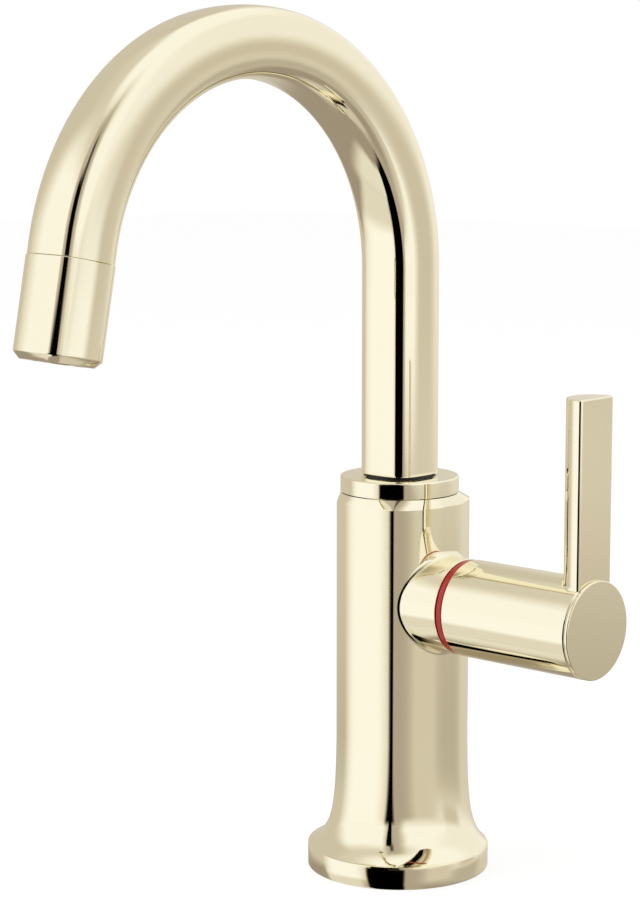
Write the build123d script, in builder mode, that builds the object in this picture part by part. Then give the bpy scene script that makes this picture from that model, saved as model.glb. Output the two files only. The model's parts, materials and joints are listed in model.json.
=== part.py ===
from build123d import *
import os
from math import atan2, cos, degrees, hypot, radians, sin

# Single-handle instant hot water faucet for a sink deck.
# Millimetres, +Z up. The origin is the centre of the base's underside, on the axis of the
# spout's upright leg. The spout reaches towards -Y, over the sink, and the valve and its
# lever stand out towards +X.

os.makedirs("parts", exist_ok=True)

# Spout tube: pillow-square outside, round inside
TUBE_HALF = 10.9
TUBE_FACE_RADIUS = 34.0
TUBE_CORNER_RADIUS = 6.0
TUBE_BORE = 9.0
ARC_RADIUS = 71.0
ARC_CENTRE_Z = 198.1
ARC_ANGLE = 168.5
LEAD_OUT = 4.2

# Outlet end of the spout
SLEEVE_STEP = 0.25
SLEEVE_LENGTH = 29.3
SLEEVE_CHAMFER = 2.0
SLEEVE_BORE = 9.6
SEAM_GROOVE = 0.25
LIP_LENGTH = 2.0
LIP_BORE = 7.6
SCREEN_THICKNESS = 0.6
SCREEN_HOLE = 0.5
GASKET_THICKNESS = 1.5
STRAIGHTENER_LENGTH = 6.0
STRAIGHTENER_HOLE = 0.8
INSERT_OVERLAP = 4.0
INSERT_WALL = 1.6

# Column: four shallow arcs that meet in soft upright creases
FRONT_CREST = 19.56
FRONT_RADIUS = 31.0
SIDE_CREST = 20.0
SIDE_RADIUS = 27.0
SIDE_CENTRE_Y = 2.0
CREASE_RADIUS = 1.0
BODY_TOP = 125.3
SHOULDER_DROP = 3.0
SHOULDER_RADIUS = 19.2

# Flare and base flange
FLARE_TOP = 45.0
FLARE_STEPS = 14
PAD_TOP = 10.2
FLANGE_RADIUS = 29.9
FLANGE_RIM = 7.6
RIM_CHAMFER = 0.4
RIM_LEDGE = 0.2

# Inside of the base
SHANK_MINOR_RADIUS = 13.25
SHANK_DEPTH = 12.0
CAVITY_RADIUS = 14.5
CAVITY_TOP = 62.0
PORT_CIRCLE_RADIUS = 9.2
PORT_MINOR_RADIUS = 3.5
PORT_DEPTH = 9.0
PASSAGE_RADIUS = 2.0
RETURN_PASSAGE_RADIUS = 1.8
RETURN_PASSAGE_Y = 14.7
CROSS_PASSAGE_RADIUS = 1.6
GASKET_GROOVE_INNER = 24.0
GASKET_GROOVE_OUTER = 28.0
GASKET_GROOVE_DEPTH = 1.5

# Swivel joint between spout and column
SPIGOT_RADIUS = 9.0
SPIGOT_BORE = 3.0
SPIGOT_NECK = 10.3
SPIGOT_FLANGE = 13.2
SPIGOT_FLANGE_THICKNESS = 2.4
SPIGOT_PLUG_LENGTH = 13.0
SPIGOT_END = 106.5
SOCKET_RADIUS = 14.0
SOCKET_DEPTH = 9.8
CHAMBER_HEIGHT = 2.7
SEAL_LEVELS = (109.4, 113.1)
WASHER_THICKNESS = 1.2
NECK_GAP = 0.7
COLLAR_RADIUS = 19.3
COLLAR_HEIGHT = 5.5
GLIDE_RING_HEIGHT = 2.3
GLIDE_RING_WALL = 1.3
GLIDE_LIP_WALL = 0.4
WATER_TUBE_RADIUS = 4.0
WATER_TUBE_WALL = 1.25

# Valve stub and lever handle, on a level axis
VALVE_AXIS_Z = 90.8
STUB_RADIUS = 15.5
STUB_END = 28.1
STUB_FILLET = 1.8
SEAT_X = 2.0
VALVE_BORE = 10.5
NUT_BORE = 12.0
NUT_SEAT_X = 22.0
INDICATOR_RADIUS = 15.3
INDICATOR_WIDTH = 2.2
BARREL_START = 30.75
BARREL_END = 79.0
BARREL_RADIUS = 15.6
BLADE_HALF_WIDTH = 8.4
BLADE_SIDE = 1.5
BLADE_TOP = 162.7
BLADE_FRONT_ROUND = 1.1
BLADE_TIP_ROUND = 0.5
BLADE_ROOT_ROUND = 1.5
CAP_THICKNESS = 1.05
CAP_SEAM = 0.15
CAP_RECESS_RADIUS = 12.0
CAP_RECESS_DEPTH = 4.6
WEB_START = 57.0
WEB_END = 60.0
SCREW_CLEARANCE = 2.15

# Valve cartridge
SEAT_GASKET_THICKNESS = 1.8
HOUSING_RADIUS = 9.2
HOUSING_FLANGE_LENGTH = 5.0
HOUSING_NOSE_RADIUS = 8.0
HOUSING_NOSE_LENGTH = 5.0
DISC_CHAMBER_LENGTH = 11.3
DISC_RADIUS = 7.5
DISC_THICKNESS = 3.0
DISC_PORT_INNER = 2.4
DISC_PORT_OUTER = 5.4
DISC_PORT_ANGLE = 70.0
STEM_RADIUS = 4.0
STEM_SEALS = (18.0, 22.0)
STEM_END = 40.0
SPLINE_LENGTH = 10.0
SPLINE_ROOT = 3.85
SPLINE_TEETH = 12

# Clearances
RUNNING = 0.05
SEATED = 0.1

VALVE_AXIS = Axis((0, 0, VALVE_AXIS_Z), (1, 0, 0))

# Levels and stations that several pieces share
shoulder_z = BODY_TOP - SHOULDER_DROP
collar_top = BODY_TOP + COLLAR_HEIGHT
tube_foot = collar_top + NECK_GAP
socket_floor = BODY_TOP - SOCKET_DEPTH
chamber_floor = SPIGOT_END - CHAMBER_HEIGHT
flange_low = socket_floor + WASHER_THICKNESS + RUNNING
flange_high = flange_low + SPIGOT_FLANGE_THICKNESS
skirt_foot = flange_high + RUNNING + WASHER_THICKNESS
collar_bore = SPIGOT_NECK + 4 * RUNNING
glide_foot = collar_top - SEATED - GLIDE_RING_HEIGHT
glide_outer = SPIGOT_NECK + RUNNING + GLIDE_RING_WALL
plug_top = tube_foot + SPIGOT_PLUG_LENGTH
water_tube_foot = tube_foot + 3.5
housing_start = SEAT_X + SEAT_GASKET_THICKNESS
flange_start = NUT_SEAT_X - HOUSING_FLANGE_LENGTH
nose_end = NUT_SEAT_X + HOUSING_NOSE_LENGTH
chamber_end = housing_start + DISC_CHAMBER_LENGTH
moving_disc_start = housing_start + DISC_THICKNESS + RUNNING
driver_start = moving_disc_start + DISC_THICKNESS + RUNNING
spline_start = STEM_END - SPLINE_LENGTH
journal_start = STUB_END + INDICATOR_WIDTH + 2 * SEATED
journal_end = BARREL_START + 5.0
handle_cavity_end = journal_end + 6.0
cap_start = BARREL_END + CAP_SEAM
cap_floor = BARREL_END - CAP_RECESS_DEPTH
sleeve_start = LEAD_OUT
sleeve_end = LEAD_OUT + SLEEVE_LENGTH
screen_end = sleeve_end - LIP_LENGTH
straightener_end = screen_end - SCREEN_THICKNESS
gasket_end = straightener_end - STRAIGHTENER_LENGTH
insert_end = gasket_end - GASKET_THICKNESS
ports = [
    (PORT_CIRCLE_RADIUS * cos(radians(angle)), PORT_CIRCLE_RADIUS * sin(radians(angle)))
    for angle in (180, 300, 60)
]
cold_port, feed_port, return_port = ports


def save(part, name):
    """Label a finished piece and write it."""
    part.label = name
    export_step(part, f"parts/{name}.step")


def turn(points, axis=Axis.Z, mode=Mode.ADD):
    """Turn an outline of (distance along X, height) points about an axis."""
    with BuildSketch(Plane.XZ) as outline:
        with BuildLine():
            Polyline(*points, close=True)
        make_face()
    return revolve(outline.sketch, axis=axis, mode=mode)


def ring_z(low, high, inner, outer, mode=Mode.ADD):
    """Turn a plain ring, or a disc where inner is 0, about the spout's upright axis."""
    return turn([(inner, low), (outer, low), (outer, high), (inner, high)], Axis.Z, mode)


def turn_x(points, mode=Mode.ADD):
    """Turn an outline of (x, radius) points about the valve axis."""
    return turn([(x, VALVE_AXIS_Z + radius) for x, radius in points], VALVE_AXIS, mode)


def ring_x(start, end, inner, outer, mode=Mode.ADD):
    """Turn a plain ring, or a disc where inner is 0, about the valve axis."""
    return turn_x([(start, inner), (end, inner), (end, outer), (start, outer)], mode)


def o_ring_z(height, ring_radius, cord_radius):
    """An O-ring of round cord about the spout's upright axis."""
    with BuildSketch(Plane.XZ) as cord:
        with Locations((ring_radius, height)):
            Circle(cord_radius)
    return revolve(cord.sketch, axis=Axis.Z)


def o_ring_x(x, ring_radius, cord_radius):
    """An O-ring of round cord about the valve axis."""
    with BuildSketch(Plane.XZ) as cord:
        with Locations((x, VALVE_AXIS_Z + ring_radius)):
            Circle(cord_radius)
    return revolve(cord.sketch, axis=VALVE_AXIS)


def drill(plane, radius, depth):
    """Remove a round passage that starts on a plane and runs along its normal."""
    with BuildSketch(plane) as mouth:
        Circle(radius)
    return extrude(mouth.sketch, amount=depth, mode=Mode.SUBTRACT)


def meeting_point(centre_a, radius_a, centre_b, radius_b, toward):
    """The point where two circles cross, on the side of a given point."""
    dx, dy = centre_b[0] - centre_a[0], centre_b[1] - centre_a[1]
    gap = hypot(dx, dy)
    along = (radius_a**2 - radius_b**2 + gap**2) / (2 * gap)
    across = (radius_a**2 - along**2) ** 0.5
    foot_x, foot_y = centre_a[0] + along * dx / gap, centre_a[1] + along * dy / gap
    options = [
        (foot_x - side * across * dy / gap, foot_y + side * across * dx / gap)
        for side in (1, -1)
    ]
    return min(options, key=lambda p: hypot(p[0] - toward[0], p[1] - toward[1]))


def bearing(centre, point):
    """The direction from a centre to a point, in degrees."""
    return degrees(atan2(point[1] - centre[1], point[0] - centre[0]))


def arc_face(arcs, plane, bore=0.0):
    """A face inside a closed chain of (centre, radius, start, end) arcs, perhaps with a bore."""
    with BuildSketch(plane) as face:
        with BuildLine():
            for centre, radius, start, end in arcs:
                CenterArc(centre, radius, start, end - start)
        make_face()
        if bore:
            Circle(bore, mode=Mode.SUBTRACT)
    return face.sketch


def pillow_arcs(grow=0.0):
    """The spout tube's outline: four bulged faces joined by round corners, all tangent."""
    half = TUBE_HALF + grow
    face_radius = TUBE_FACE_RADIUS + grow
    corner_radius = TUBE_CORNER_RADIUS + grow
    offset = half - face_radius
    reach = face_radius - corner_radius
    corner = meeting_point((offset, 0), reach, (0, offset), reach, (half, half))
    edge_angle = bearing((offset, 0), corner)
    arcs = []
    for quarter in range(4):
        angle = 90 * quarter
        c, s = cos(radians(angle)), sin(radians(angle))
        for (x, y), radius, start, end in (
            ((offset, 0), face_radius, -edge_angle, edge_angle),
            (corner, corner_radius, edge_angle, 90 - edge_angle),
        ):
            centre = (x * c - y * s, x * s + y * c)
            arcs.append((centre, radius, angle + start, angle + end))
    return arcs


def column_arcs(roundness=0.0, crease_radius=CREASE_RADIUS):
    """The column's outline, drawn towards a circle as roundness goes from 0 to 1."""
    keep = 1 - roundness
    front_centre = (0, keep * (FRONT_RADIUS - FRONT_CREST))
    side_centre = (keep * (SIDE_CREST - SIDE_RADIUS), keep * SIDE_CENTRE_Y)
    back_centre = (0, 2 * side_centre[1] - front_centre[1])
    front_radius = keep * FRONT_RADIUS + roundness * FLANGE_RADIUS
    side_radius = keep * SIDE_RADIUS + roundness * FLANGE_RADIUS
    front_crease, back_crease = (
        meeting_point(
            centre,
            front_radius - crease_radius,
            side_centre,
            side_radius - crease_radius,
            (SIDE_CREST, side * FRONT_CREST),
        )
        for centre, side in ((front_centre, -1), (back_centre, 1))
    )
    front_angle = bearing(front_centre, front_crease)
    side_low = bearing(side_centre, front_crease)
    side_high = bearing(side_centre, back_crease)
    back_angle = bearing(back_centre, back_crease)
    right = [
        (front_crease, crease_radius, front_angle, side_low),
        (side_centre, side_radius, side_low, side_high),
        (back_crease, crease_radius, side_high, back_angle),
    ]
    left = [((-x, y), r, 180 - end, 180 - start) for (x, y), r, start, end in reversed(right)]
    front = (front_centre, front_radius, -180 - front_angle, front_angle)
    back = (back_centre, front_radius, back_angle, 180 - back_angle)
    return [front, *right, back, *left]


def round_arcs(arcs, radius):
    """A circle divided at the same bearings as another outline."""
    return [((0, 0), radius, start, end) for _, _, start, end in arcs]


def flare_arcs(height):
    """The column's outline at a height within the flare, where it eases into the base."""

    fall = (FLARE_TOP - height) / (FLARE_TOP - PAD_TOP)
    roundness = 0.33 * fall**2.46 + 0.29 * fall**12.9
    return column_arcs(roundness, CREASE_RADIUS + 21 * roundness**2)


def outlet_plane(distance):
    """A plane square to the spout's outlet end, at a distance beyond its arc."""
    a = radians(ARC_ANGLE)
    direction = Vector(0, -sin(a), cos(a))
    arc_end = Vector(0, -ARC_RADIUS * (1 - cos(a)), ARC_CENTRE_Z + ARC_RADIUS * sin(a))
    return Plane(arc_end + direction * distance, x_dir=(1, 0, 0), z_dir=direction)


def ring_out(start, end, inner, outer, mode=Mode.ADD):
    """A plain ring, or a disc where inner is 0, at stations along the outlet end."""
    with BuildSketch(outlet_plane(start)) as ring:
        Circle(outer)
        if inner:
            Circle(inner, mode=Mode.SUBTRACT)
    return extrude(ring.sketch, amount=end - start, mode=mode)


def hole_field(plane, disc_radius, hole_radius, pitch, rings, thickness):
    """A round plate with rings of holes about a middle one."""
    with BuildSketch(plane) as plate:
        Circle(disc_radius)
        Circle(hole_radius, mode=Mode.SUBTRACT)
        for ring in range(1, rings + 1):
            with PolarLocations(pitch * ring, 6 * ring):
                Circle(hole_radius, mode=Mode.SUBTRACT)
    return extrude(plate.sketch, amount=thickness)


def sector_ports(x, thickness, outer, mode=Mode.SUBTRACT):
    """Two sector openings, above and below the valve axis."""
    with BuildSketch(Plane((x, 0, VALVE_AXIS_Z), x_dir=(0, 0, 1), z_dir=(1, 0, 0))) as openings:
        for middle in (0, 180):
            low, high = radians(middle - DISC_PORT_ANGLE / 2), radians(middle + DISC_PORT_ANGLE / 2)
            with BuildLine():
                Line(
                    (DISC_PORT_INNER * cos(low), DISC_PORT_INNER * sin(low)),
                    (outer * cos(low), outer * sin(low)),
                )
                CenterArc((0, 0), outer, degrees(low), DISC_PORT_ANGLE)
                Line(
                    (outer * cos(high), outer * sin(high)),
                    (DISC_PORT_INNER * cos(high), DISC_PORT_INNER * sin(high)),
                )
                CenterArc((0, 0), DISC_PORT_INNER, degrees(low), DISC_PORT_ANGLE)
            make_face()
    return extrude(openings.sketch, amount=thickness, mode=mode)


def follow_spout(arcs, bore, foot, lead):
    """A hollow section carried up the leg, round the arc and out along the outlet end."""
    extrude(arc_face(arcs, Plane.XY.offset(foot), bore), amount=ARC_CENTRE_Z - foot)
    revolve(
        arc_face(arcs, Plane.XY.offset(ARC_CENTRE_Z), bore),
        axis=Axis((0, -ARC_RADIUS, ARC_CENTRE_Z), (1, 0, 0)),
        revolution_arc=ARC_ANGLE,
    )
    extrude(arc_face(arcs, outlet_plane(0), bore), amount=lead)


# Body: column, shoulder, flare, base flange and valve stub, cast as one
with BuildPart() as body:
    column = column_arcs()
    extrude(arc_face(column, Plane.XY.offset(FLARE_TOP)), amount=shoulder_z - FLARE_TOP)
    shoulder_sections = [
        arc_face(column, Plane.XY.offset(shoulder_z)),
        arc_face(round_arcs(column, SHOULDER_RADIUS), Plane.XY.offset(BODY_TOP)),
    ]
    loft(shoulder_sections, ruled=True)
    flare_sections = []
    for step in range(FLARE_STEPS + 1):
        fall = 1 - (1 - step / FLARE_STEPS) ** 1.7
        height = FLARE_TOP + (PAD_TOP - FLARE_TOP) * fall
        flare_sections.append(arc_face(flare_arcs(height), Plane.XY.offset(height)))
    pad = round_arcs(flare_arcs(PAD_TOP), FLANGE_RADIUS - RIM_CHAMFER - RIM_LEDGE)
    flare_sections.append(arc_face(pad, Plane.XY.offset(FLANGE_RIM)))
    loft(flare_sections, ruled=True)
    turn([
        (0, 0),
        (FLANGE_RADIUS - RIM_CHAMFER, 0),
        (FLANGE_RADIUS, RIM_CHAMFER),
        (FLANGE_RADIUS, FLANGE_RIM - RIM_CHAMFER),
        (FLANGE_RADIUS - RIM_CHAMFER, FLANGE_RIM),
        (0, FLANGE_RIM),
    ])
    # Valve stub, with a small round where it leaves the column
    ring_x(0, STUB_END, 0, STUB_RADIUS)
    root = body.edges(Select.LAST).filter_by_position(Axis.X, 10, 22)
    fillet(root, STUB_FILLET)
    # Shank thread, plumbing cavity and its three ports
    ring_z(0, SHANK_DEPTH, 0, SHANK_MINOR_RADIUS, Mode.SUBTRACT)
    ring_z(SHANK_DEPTH, CAVITY_TOP, 0, CAVITY_RADIUS, Mode.SUBTRACT)
    ring_z(0, GASKET_GROOVE_DEPTH, GASKET_GROOVE_INNER, GASKET_GROOVE_OUTER, Mode.SUBTRACT)
    for x, y in ports:
        drill(Plane((x, y, CAVITY_TOP)), PORT_MINOR_RADIUS, PORT_DEPTH)
    # Cold water passage to the valve seat
    port_roof = CAVITY_TOP + PORT_DEPTH - 1
    drill(
        Plane((*cold_port, port_roof)),
        PASSAGE_RADIUS,
        VALVE_AXIS_Z + PASSAGE_RADIUS + 0.5 - port_roof,
    )
    drill(
        Plane((cold_port[0], 0, VALVE_AXIS_Z), z_dir=(1, 0, 0)),
        PASSAGE_RADIUS,
        SEAT_X - cold_port[0],
    )
    # Tank feed passage from the valve bore down to its port
    drill(Plane((*feed_port, port_roof)), PASSAGE_RADIUS, VALVE_AXIS_Z - 4 - port_roof)
    # Hot return passage up to the chamber under the spigot
    return_low = CAVITY_TOP + PORT_DEPTH - 3
    return_high = SPIGOT_END - 0.9
    for height, start in ((return_low, return_port[1]), (return_high, return_port[1] - 2)):
        drill(
            Plane((return_port[0], start, height), x_dir=(1, 0, 0), z_dir=(0, 1, 0)),
            CROSS_PASSAGE_RADIUS,
            RETURN_PASSAGE_Y - start,
        )
    drill(
        Plane((return_port[0], RETURN_PASSAGE_Y, return_low - 2.3)),
        RETURN_PASSAGE_RADIUS,
        return_high - return_low + 4.6,
    )
    # Valve bore, nut bore and spigot socket
    ring_x(SEAT_X, NUT_SEAT_X, 0, VALVE_BORE, Mode.SUBTRACT)
    ring_x(NUT_SEAT_X, STUB_END, 0, NUT_BORE, Mode.SUBTRACT)
    ring_z(chamber_floor, socket_floor, 0, SPIGOT_RADIUS + RUNNING, Mode.SUBTRACT)
    ring_z(socket_floor, BODY_TOP, 0, SOCKET_RADIUS, Mode.SUBTRACT)
save(body.part, "body")

# Seal between the base flange and the deck
with BuildPart() as base_gasket:
    ring_z(
        SEATED,
        GASKET_GROOVE_DEPTH,
        GASKET_GROOVE_INNER + SEATED,
        GASKET_GROOVE_OUTER - SEATED,
    )
save(base_gasket.part, "base_gasket")

# Spigot that joins the spout to the column and carries the hot water
with BuildPart() as spout_spigot:
    turn([
        (SPIGOT_BORE, SPIGOT_END),
        (SPIGOT_RADIUS - 0.6, SPIGOT_END),
        (SPIGOT_RADIUS, SPIGOT_END + 0.6),
        (SPIGOT_RADIUS, flange_low),
        (SPIGOT_FLANGE, flange_low),
        (SPIGOT_FLANGE, flange_high),
        (SPIGOT_NECK, flange_high),
        (SPIGOT_NECK, tube_foot),
        (TUBE_BORE - SEATED, tube_foot),
        (TUBE_BORE - SEATED, plug_top),
        (WATER_TUBE_RADIUS + RUNNING, plug_top),
        (WATER_TUBE_RADIUS + RUNNING, water_tube_foot),
        (SPIGOT_BORE, water_tube_foot),
    ])
    for level in SEAL_LEVELS:
        ring_z(level - 1.2, level + 1.2, SPIGOT_RADIUS - 1.8, SPIGOT_RADIUS + 1, Mode.SUBTRACT)
save(spout_spigot.part, "spout_spigot")

# Two seals on the spigot
with BuildPart() as spigot_orings:
    for level in SEAL_LEVELS:
        o_ring_z(level, SPIGOT_RADIUS - 0.88, 0.9)
save(spigot_orings.part, "spigot_orings")

# Thrust washers under and over the spigot's flange
with BuildPart() as lower_thrust_washer:
    ring_z(socket_floor, socket_floor + WASHER_THICKNESS, SPIGOT_RADIUS + 0.3, SPIGOT_FLANGE + 0.3)
save(lower_thrust_washer.part, "lower_thrust_washer")

with BuildPart() as upper_thrust_washer:
    ring_z(skirt_foot - WASHER_THICKNESS, skirt_foot, SPIGOT_NECK + 0.4, SPIGOT_FLANGE + 0.3)
save(upper_thrust_washer.part, "upper_thrust_washer")

# Collar that holds the spigot down, with a skirt in the column's socket
with BuildPart() as spout_collar:
    turn([
        (collar_bore, skirt_foot),
        (SOCKET_RADIUS - RUNNING, skirt_foot),
        (SOCKET_RADIUS - RUNNING, BODY_TOP),
        (COLLAR_RADIUS - 0.3, BODY_TOP),
        (COLLAR_RADIUS, BODY_TOP + 0.3),
        (COLLAR_RADIUS, collar_top - 0.4),
        (COLLAR_RADIUS - 0.4, collar_top),
        (glide_outer + RUNNING, collar_top),
        (glide_outer + RUNNING, glide_foot),
        (collar_bore, glide_foot),
    ])
save(spout_collar.part, "spout_collar")

with BuildPart() as collar_glide_ring:
    ring_z(glide_foot, glide_foot + GLIDE_RING_HEIGHT, SPIGOT_NECK + RUNNING, glide_outer)
    lip_outer = SPIGOT_NECK + RUNNING + GLIDE_LIP_WALL
    ring_z(glide_foot, tube_foot - SEATED, SPIGOT_NECK + RUNNING, lip_outer)
save(collar_glide_ring.part, "collar_glide_ring")

# Spout tube: upright leg, arc and lead-out
with BuildPart() as spout_tube:
    follow_spout(pillow_arcs(), TUBE_BORE, tube_foot, LEAD_OUT)
    tube_ends = (
        spout_tube.faces().filter_by(GeomType.PLANE).sort_by(Axis.Z)[0],
        spout_tube.faces().filter_by(GeomType.PLANE).sort_by(Axis.Y)[0],
    )
    for end_face in tube_ends:
        chamfer(end_face.outer_wire().edges(), SEAM_GROOVE)
save(spout_tube.part, "spout_tube")

# Inner tube that keeps the hot water off the spout's wall
with BuildPart() as spout_water_tube:
    circle = [((0, 0), WATER_TUBE_RADIUS, quarter * 90, quarter * 90 + 90) for quarter in range(4)]
    follow_spout(
        circle,
        WATER_TUBE_RADIUS - WATER_TUBE_WALL,
        water_tube_foot,
        LEAD_OUT - 1.5,
    )
save(spout_water_tube.part, "spout_water_tube")

# Plug that ends the water tube and centres the sleeve on the spout
with BuildPart() as outlet_insert:
    ring_out(-INSERT_OVERLAP + LEAD_OUT, sleeve_start, 0, TUBE_BORE - SEATED)
    ring_out(sleeve_start, insert_end, 0, SLEEVE_BORE - SEATED)
    ring_out(-INSERT_OVERLAP + LEAD_OUT, LEAD_OUT - 1.5, 0, WATER_TUBE_RADIUS + RUNNING,
             Mode.SUBTRACT)
    ring_out(LEAD_OUT - 1.5, LEAD_OUT + 2, 0, SPIGOT_BORE, Mode.SUBTRACT)
    ring_out(LEAD_OUT + 2, insert_end, 0, SLEEVE_BORE - SEATED - INSERT_WALL, Mode.SUBTRACT)
save(outlet_insert.part, "outlet_insert")

with BuildPart() as outlet_gasket:
    ring_out(insert_end, gasket_end, SLEEVE_BORE - 3.2, SLEEVE_BORE - SEATED)
save(outlet_gasket.part, "outlet_gasket")

# Honeycomb that quiets the stream, and the screen below it
with BuildPart() as flow_straightener:
    hole_field(outlet_plane(gasket_end), SLEEVE_BORE - SEATED, STRAIGHTENER_HOLE, 2.05, 3,
               STRAIGHTENER_LENGTH)
save(flow_straightener.part, "flow_straightener")

with BuildPart() as outlet_screen:
    hole_field(outlet_plane(straightener_end), SLEEVE_BORE - SEATED, SCREEN_HOLE, 1.35, 5,
               SCREEN_THICKNESS)
save(outlet_screen.part, "outlet_screen")

# Sleeve that closes the outlet end
with BuildPart() as outlet_sleeve:
    extrude(arc_face(pillow_arcs(SLEEVE_STEP), outlet_plane(sleeve_start)), amount=SLEEVE_LENGTH)
    sleeve_ends = outlet_sleeve.faces().filter_by(GeomType.PLANE).sort_by(Axis.Z)
    chamfer(sleeve_ends[0].edges(), SLEEVE_CHAMFER)
    chamfer(outlet_sleeve.faces().sort_by(Axis.Z)[-1].edges(), SEAM_GROOVE)
    ring_out(sleeve_start, screen_end, 0, SLEEVE_BORE, Mode.SUBTRACT)
    ring_out(screen_end, sleeve_end, 0, LIP_BORE, Mode.SUBTRACT)
save(outlet_sleeve.part, "outlet_sleeve")

# Cartridge: seat gasket, housing with side windows, and its two ceramic discs
with BuildPart() as cartridge_seat_gasket:
    ring_x(SEAT_X, housing_start, DISC_PORT_OUTER + 0.4, HOUSING_RADIUS - 0.2)
save(cartridge_seat_gasket.part, "cartridge_seat_gasket")

with BuildPart() as cartridge_housing:
    turn_x([
        (housing_start, DISC_RADIUS + SEATED),
        (housing_start, HOUSING_RADIUS),
        (flange_start, HOUSING_RADIUS),
        (flange_start, VALVE_BORE - RUNNING),
        (NUT_SEAT_X, VALVE_BORE - RUNNING),
        (NUT_SEAT_X, HOUSING_NOSE_RADIUS),
        (nose_end, HOUSING_NOSE_RADIUS),
        (nose_end, STEM_RADIUS + RUNNING),
        (chamber_end, STEM_RADIUS + RUNNING),
        (chamber_end, DISC_RADIUS + SEATED),
    ])
    ring_x(flange_start + 1.7, flange_start + 3.3, VALVE_BORE - 1.45, VALVE_BORE + 1,
           Mode.SUBTRACT)
    with BuildSketch(Plane((driver_start + 2.1, 0, VALVE_AXIS_Z), z_dir=(0, 0, 1))) as window:
        Rectangle(3, 6)
    extrude(window.sketch, amount=HOUSING_RADIUS + 1, both=True, mode=Mode.SUBTRACT)
save(cartridge_housing.part, "cartridge_housing")

with BuildPart() as housing_oring:
    o_ring_x(flange_start + 2.5, VALVE_BORE - 0.76, 0.66)
save(housing_oring.part, "housing_oring")

with BuildPart() as fixed_ceramic_disc:
    ring_x(housing_start, housing_start + DISC_THICKNESS, 0, DISC_RADIUS)
    sector_ports(housing_start, DISC_THICKNESS, DISC_PORT_OUTER)
save(fixed_ceramic_disc.part, "fixed_ceramic_disc")

with BuildPart() as moving_ceramic_disc:
    ring_x(moving_disc_start, moving_disc_start + DISC_THICKNESS, 0, DISC_RADIUS - SEATED)
    sector_ports(moving_disc_start, DISC_THICKNESS, DISC_PORT_OUTER)
save(moving_ceramic_disc.part, "moving_ceramic_disc")

# Stem: slotted driver head, two seal grooves, clip groove and fluted end
with BuildPart() as valve_stem:
    turn_x([
        (driver_start, 0),
        (driver_start, DISC_RADIUS - SEATED),
        (chamber_end - SEATED, DISC_RADIUS - SEATED),
        (chamber_end - SEATED, STEM_RADIUS),
        (nose_end, STEM_RADIUS),
        (nose_end, STEM_RADIUS - 0.6),
        (nose_end + 0.85, STEM_RADIUS - 0.6),
        (nose_end + 0.85, STEM_RADIUS),
        (STEM_END - 0.5, STEM_RADIUS - 0.2),
        (STEM_END, STEM_RADIUS - 0.7),
        (STEM_END, 0),
    ])
    sector_ports(driver_start, 3.6, DISC_RADIUS)
    for x in STEM_SEALS:
        ring_x(x - 1, x + 1, STEM_RADIUS - 1.75, STEM_RADIUS + 1, Mode.SUBTRACT)
    with BuildSketch(Plane((spline_start, 0, VALVE_AXIS_Z), z_dir=(1, 0, 0))) as flutes:
        with PolarLocations(SPLINE_ROOT, SPLINE_TEETH):
            Circle(0.35)
    extrude(flutes.sketch, amount=SPLINE_LENGTH, mode=Mode.SUBTRACT)
    ring_x(STEM_END - 6, STEM_END, 0, 2 + RUNNING, Mode.SUBTRACT)
save(valve_stem.part, "valve_stem")

with BuildPart() as stem_orings:
    for x in STEM_SEALS:
        o_ring_x(x, STEM_RADIUS - 0.86, 0.86)
save(stem_orings.part, "stem_orings")

with BuildPart() as stem_clip:
    ring_x(nose_end + RUNNING, nose_end + 0.75, STEM_RADIUS - 0.55, STEM_RADIUS + 1.4)
    with Locations((nose_end, 0, VALVE_AXIS_Z + STEM_RADIUS)):
        Box(4, 3.2, 5, mode=Mode.SUBTRACT)
save(stem_clip.part, "stem_clip")

# Nut that holds the cartridge in, with the journal that the handle turns on
with BuildPart() as bonnet_nut:
    turn_x([
        (NUT_SEAT_X + RUNNING, HOUSING_NOSE_RADIUS + RUNNING),
        (NUT_SEAT_X + RUNNING, NUT_BORE - RUNNING),
        (STUB_END, NUT_BORE - RUNNING),
        (STUB_END, NUT_BORE + 0.5),
        (journal_start, NUT_BORE + 0.5),
        (journal_start, NUT_BORE - 1),
        (journal_end, NUT_BORE - 1),
        (journal_end, HOUSING_NOSE_RADIUS + RUNNING),
    ])
    with Locations((journal_end, 0, VALVE_AXIS_Z)):
        Box(3, 3, 30, mode=Mode.SUBTRACT)
save(bonnet_nut.part, "bonnet_nut")

# Coloured ring that marks the valve as hot
with BuildPart() as hot_indicator_ring:
    low, high = NUT_BORE + 0.6, INDICATOR_RADIUS
    start, end = STUB_END + SEATED, STUB_END + SEATED + INDICATOR_WIDTH
    turn_x([
        (start, low),
        (start, high - 0.2),
        (start + 0.2, high),
        (end - 0.3, high),
        (end, high - 0.3),
        (end, low),
    ])
save(hot_indicator_ring.part, "hot_indicator_ring")

with BuildPart() as handle_bushing:
    ring_x(BARREL_START + 1, journal_end, NUT_BORE - 1 + RUNNING, NUT_BORE + 1.35)
save(handle_bushing.part, "handle_bushing")

# Adapter that carries the handle on the stem's flutes
with BuildPart() as spline_adapter:
    ring_x(BARREL_START + 0.5, WEB_START, 0, 6)
    ring_x(BARREL_START + 0.5, STEM_END + 0.3, 0, STEM_RADIUS + RUNNING, Mode.SUBTRACT)
    ring_x(STEM_END, WEB_START, 0, SCREW_CLEARANCE, Mode.SUBTRACT)
    with BuildSketch(Plane((BARREL_START + 1.5, 0, VALVE_AXIS_Z), z_dir=(1, 0, 0))) as ribs:
        with PolarLocations(SPLINE_ROOT + 0.1, SPLINE_TEETH):
            Circle(0.3)
    extrude(ribs.sketch, amount=STEM_END - 0.5 - BARREL_START - 1.5)
save(spline_adapter.part, "spline_adapter")

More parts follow.
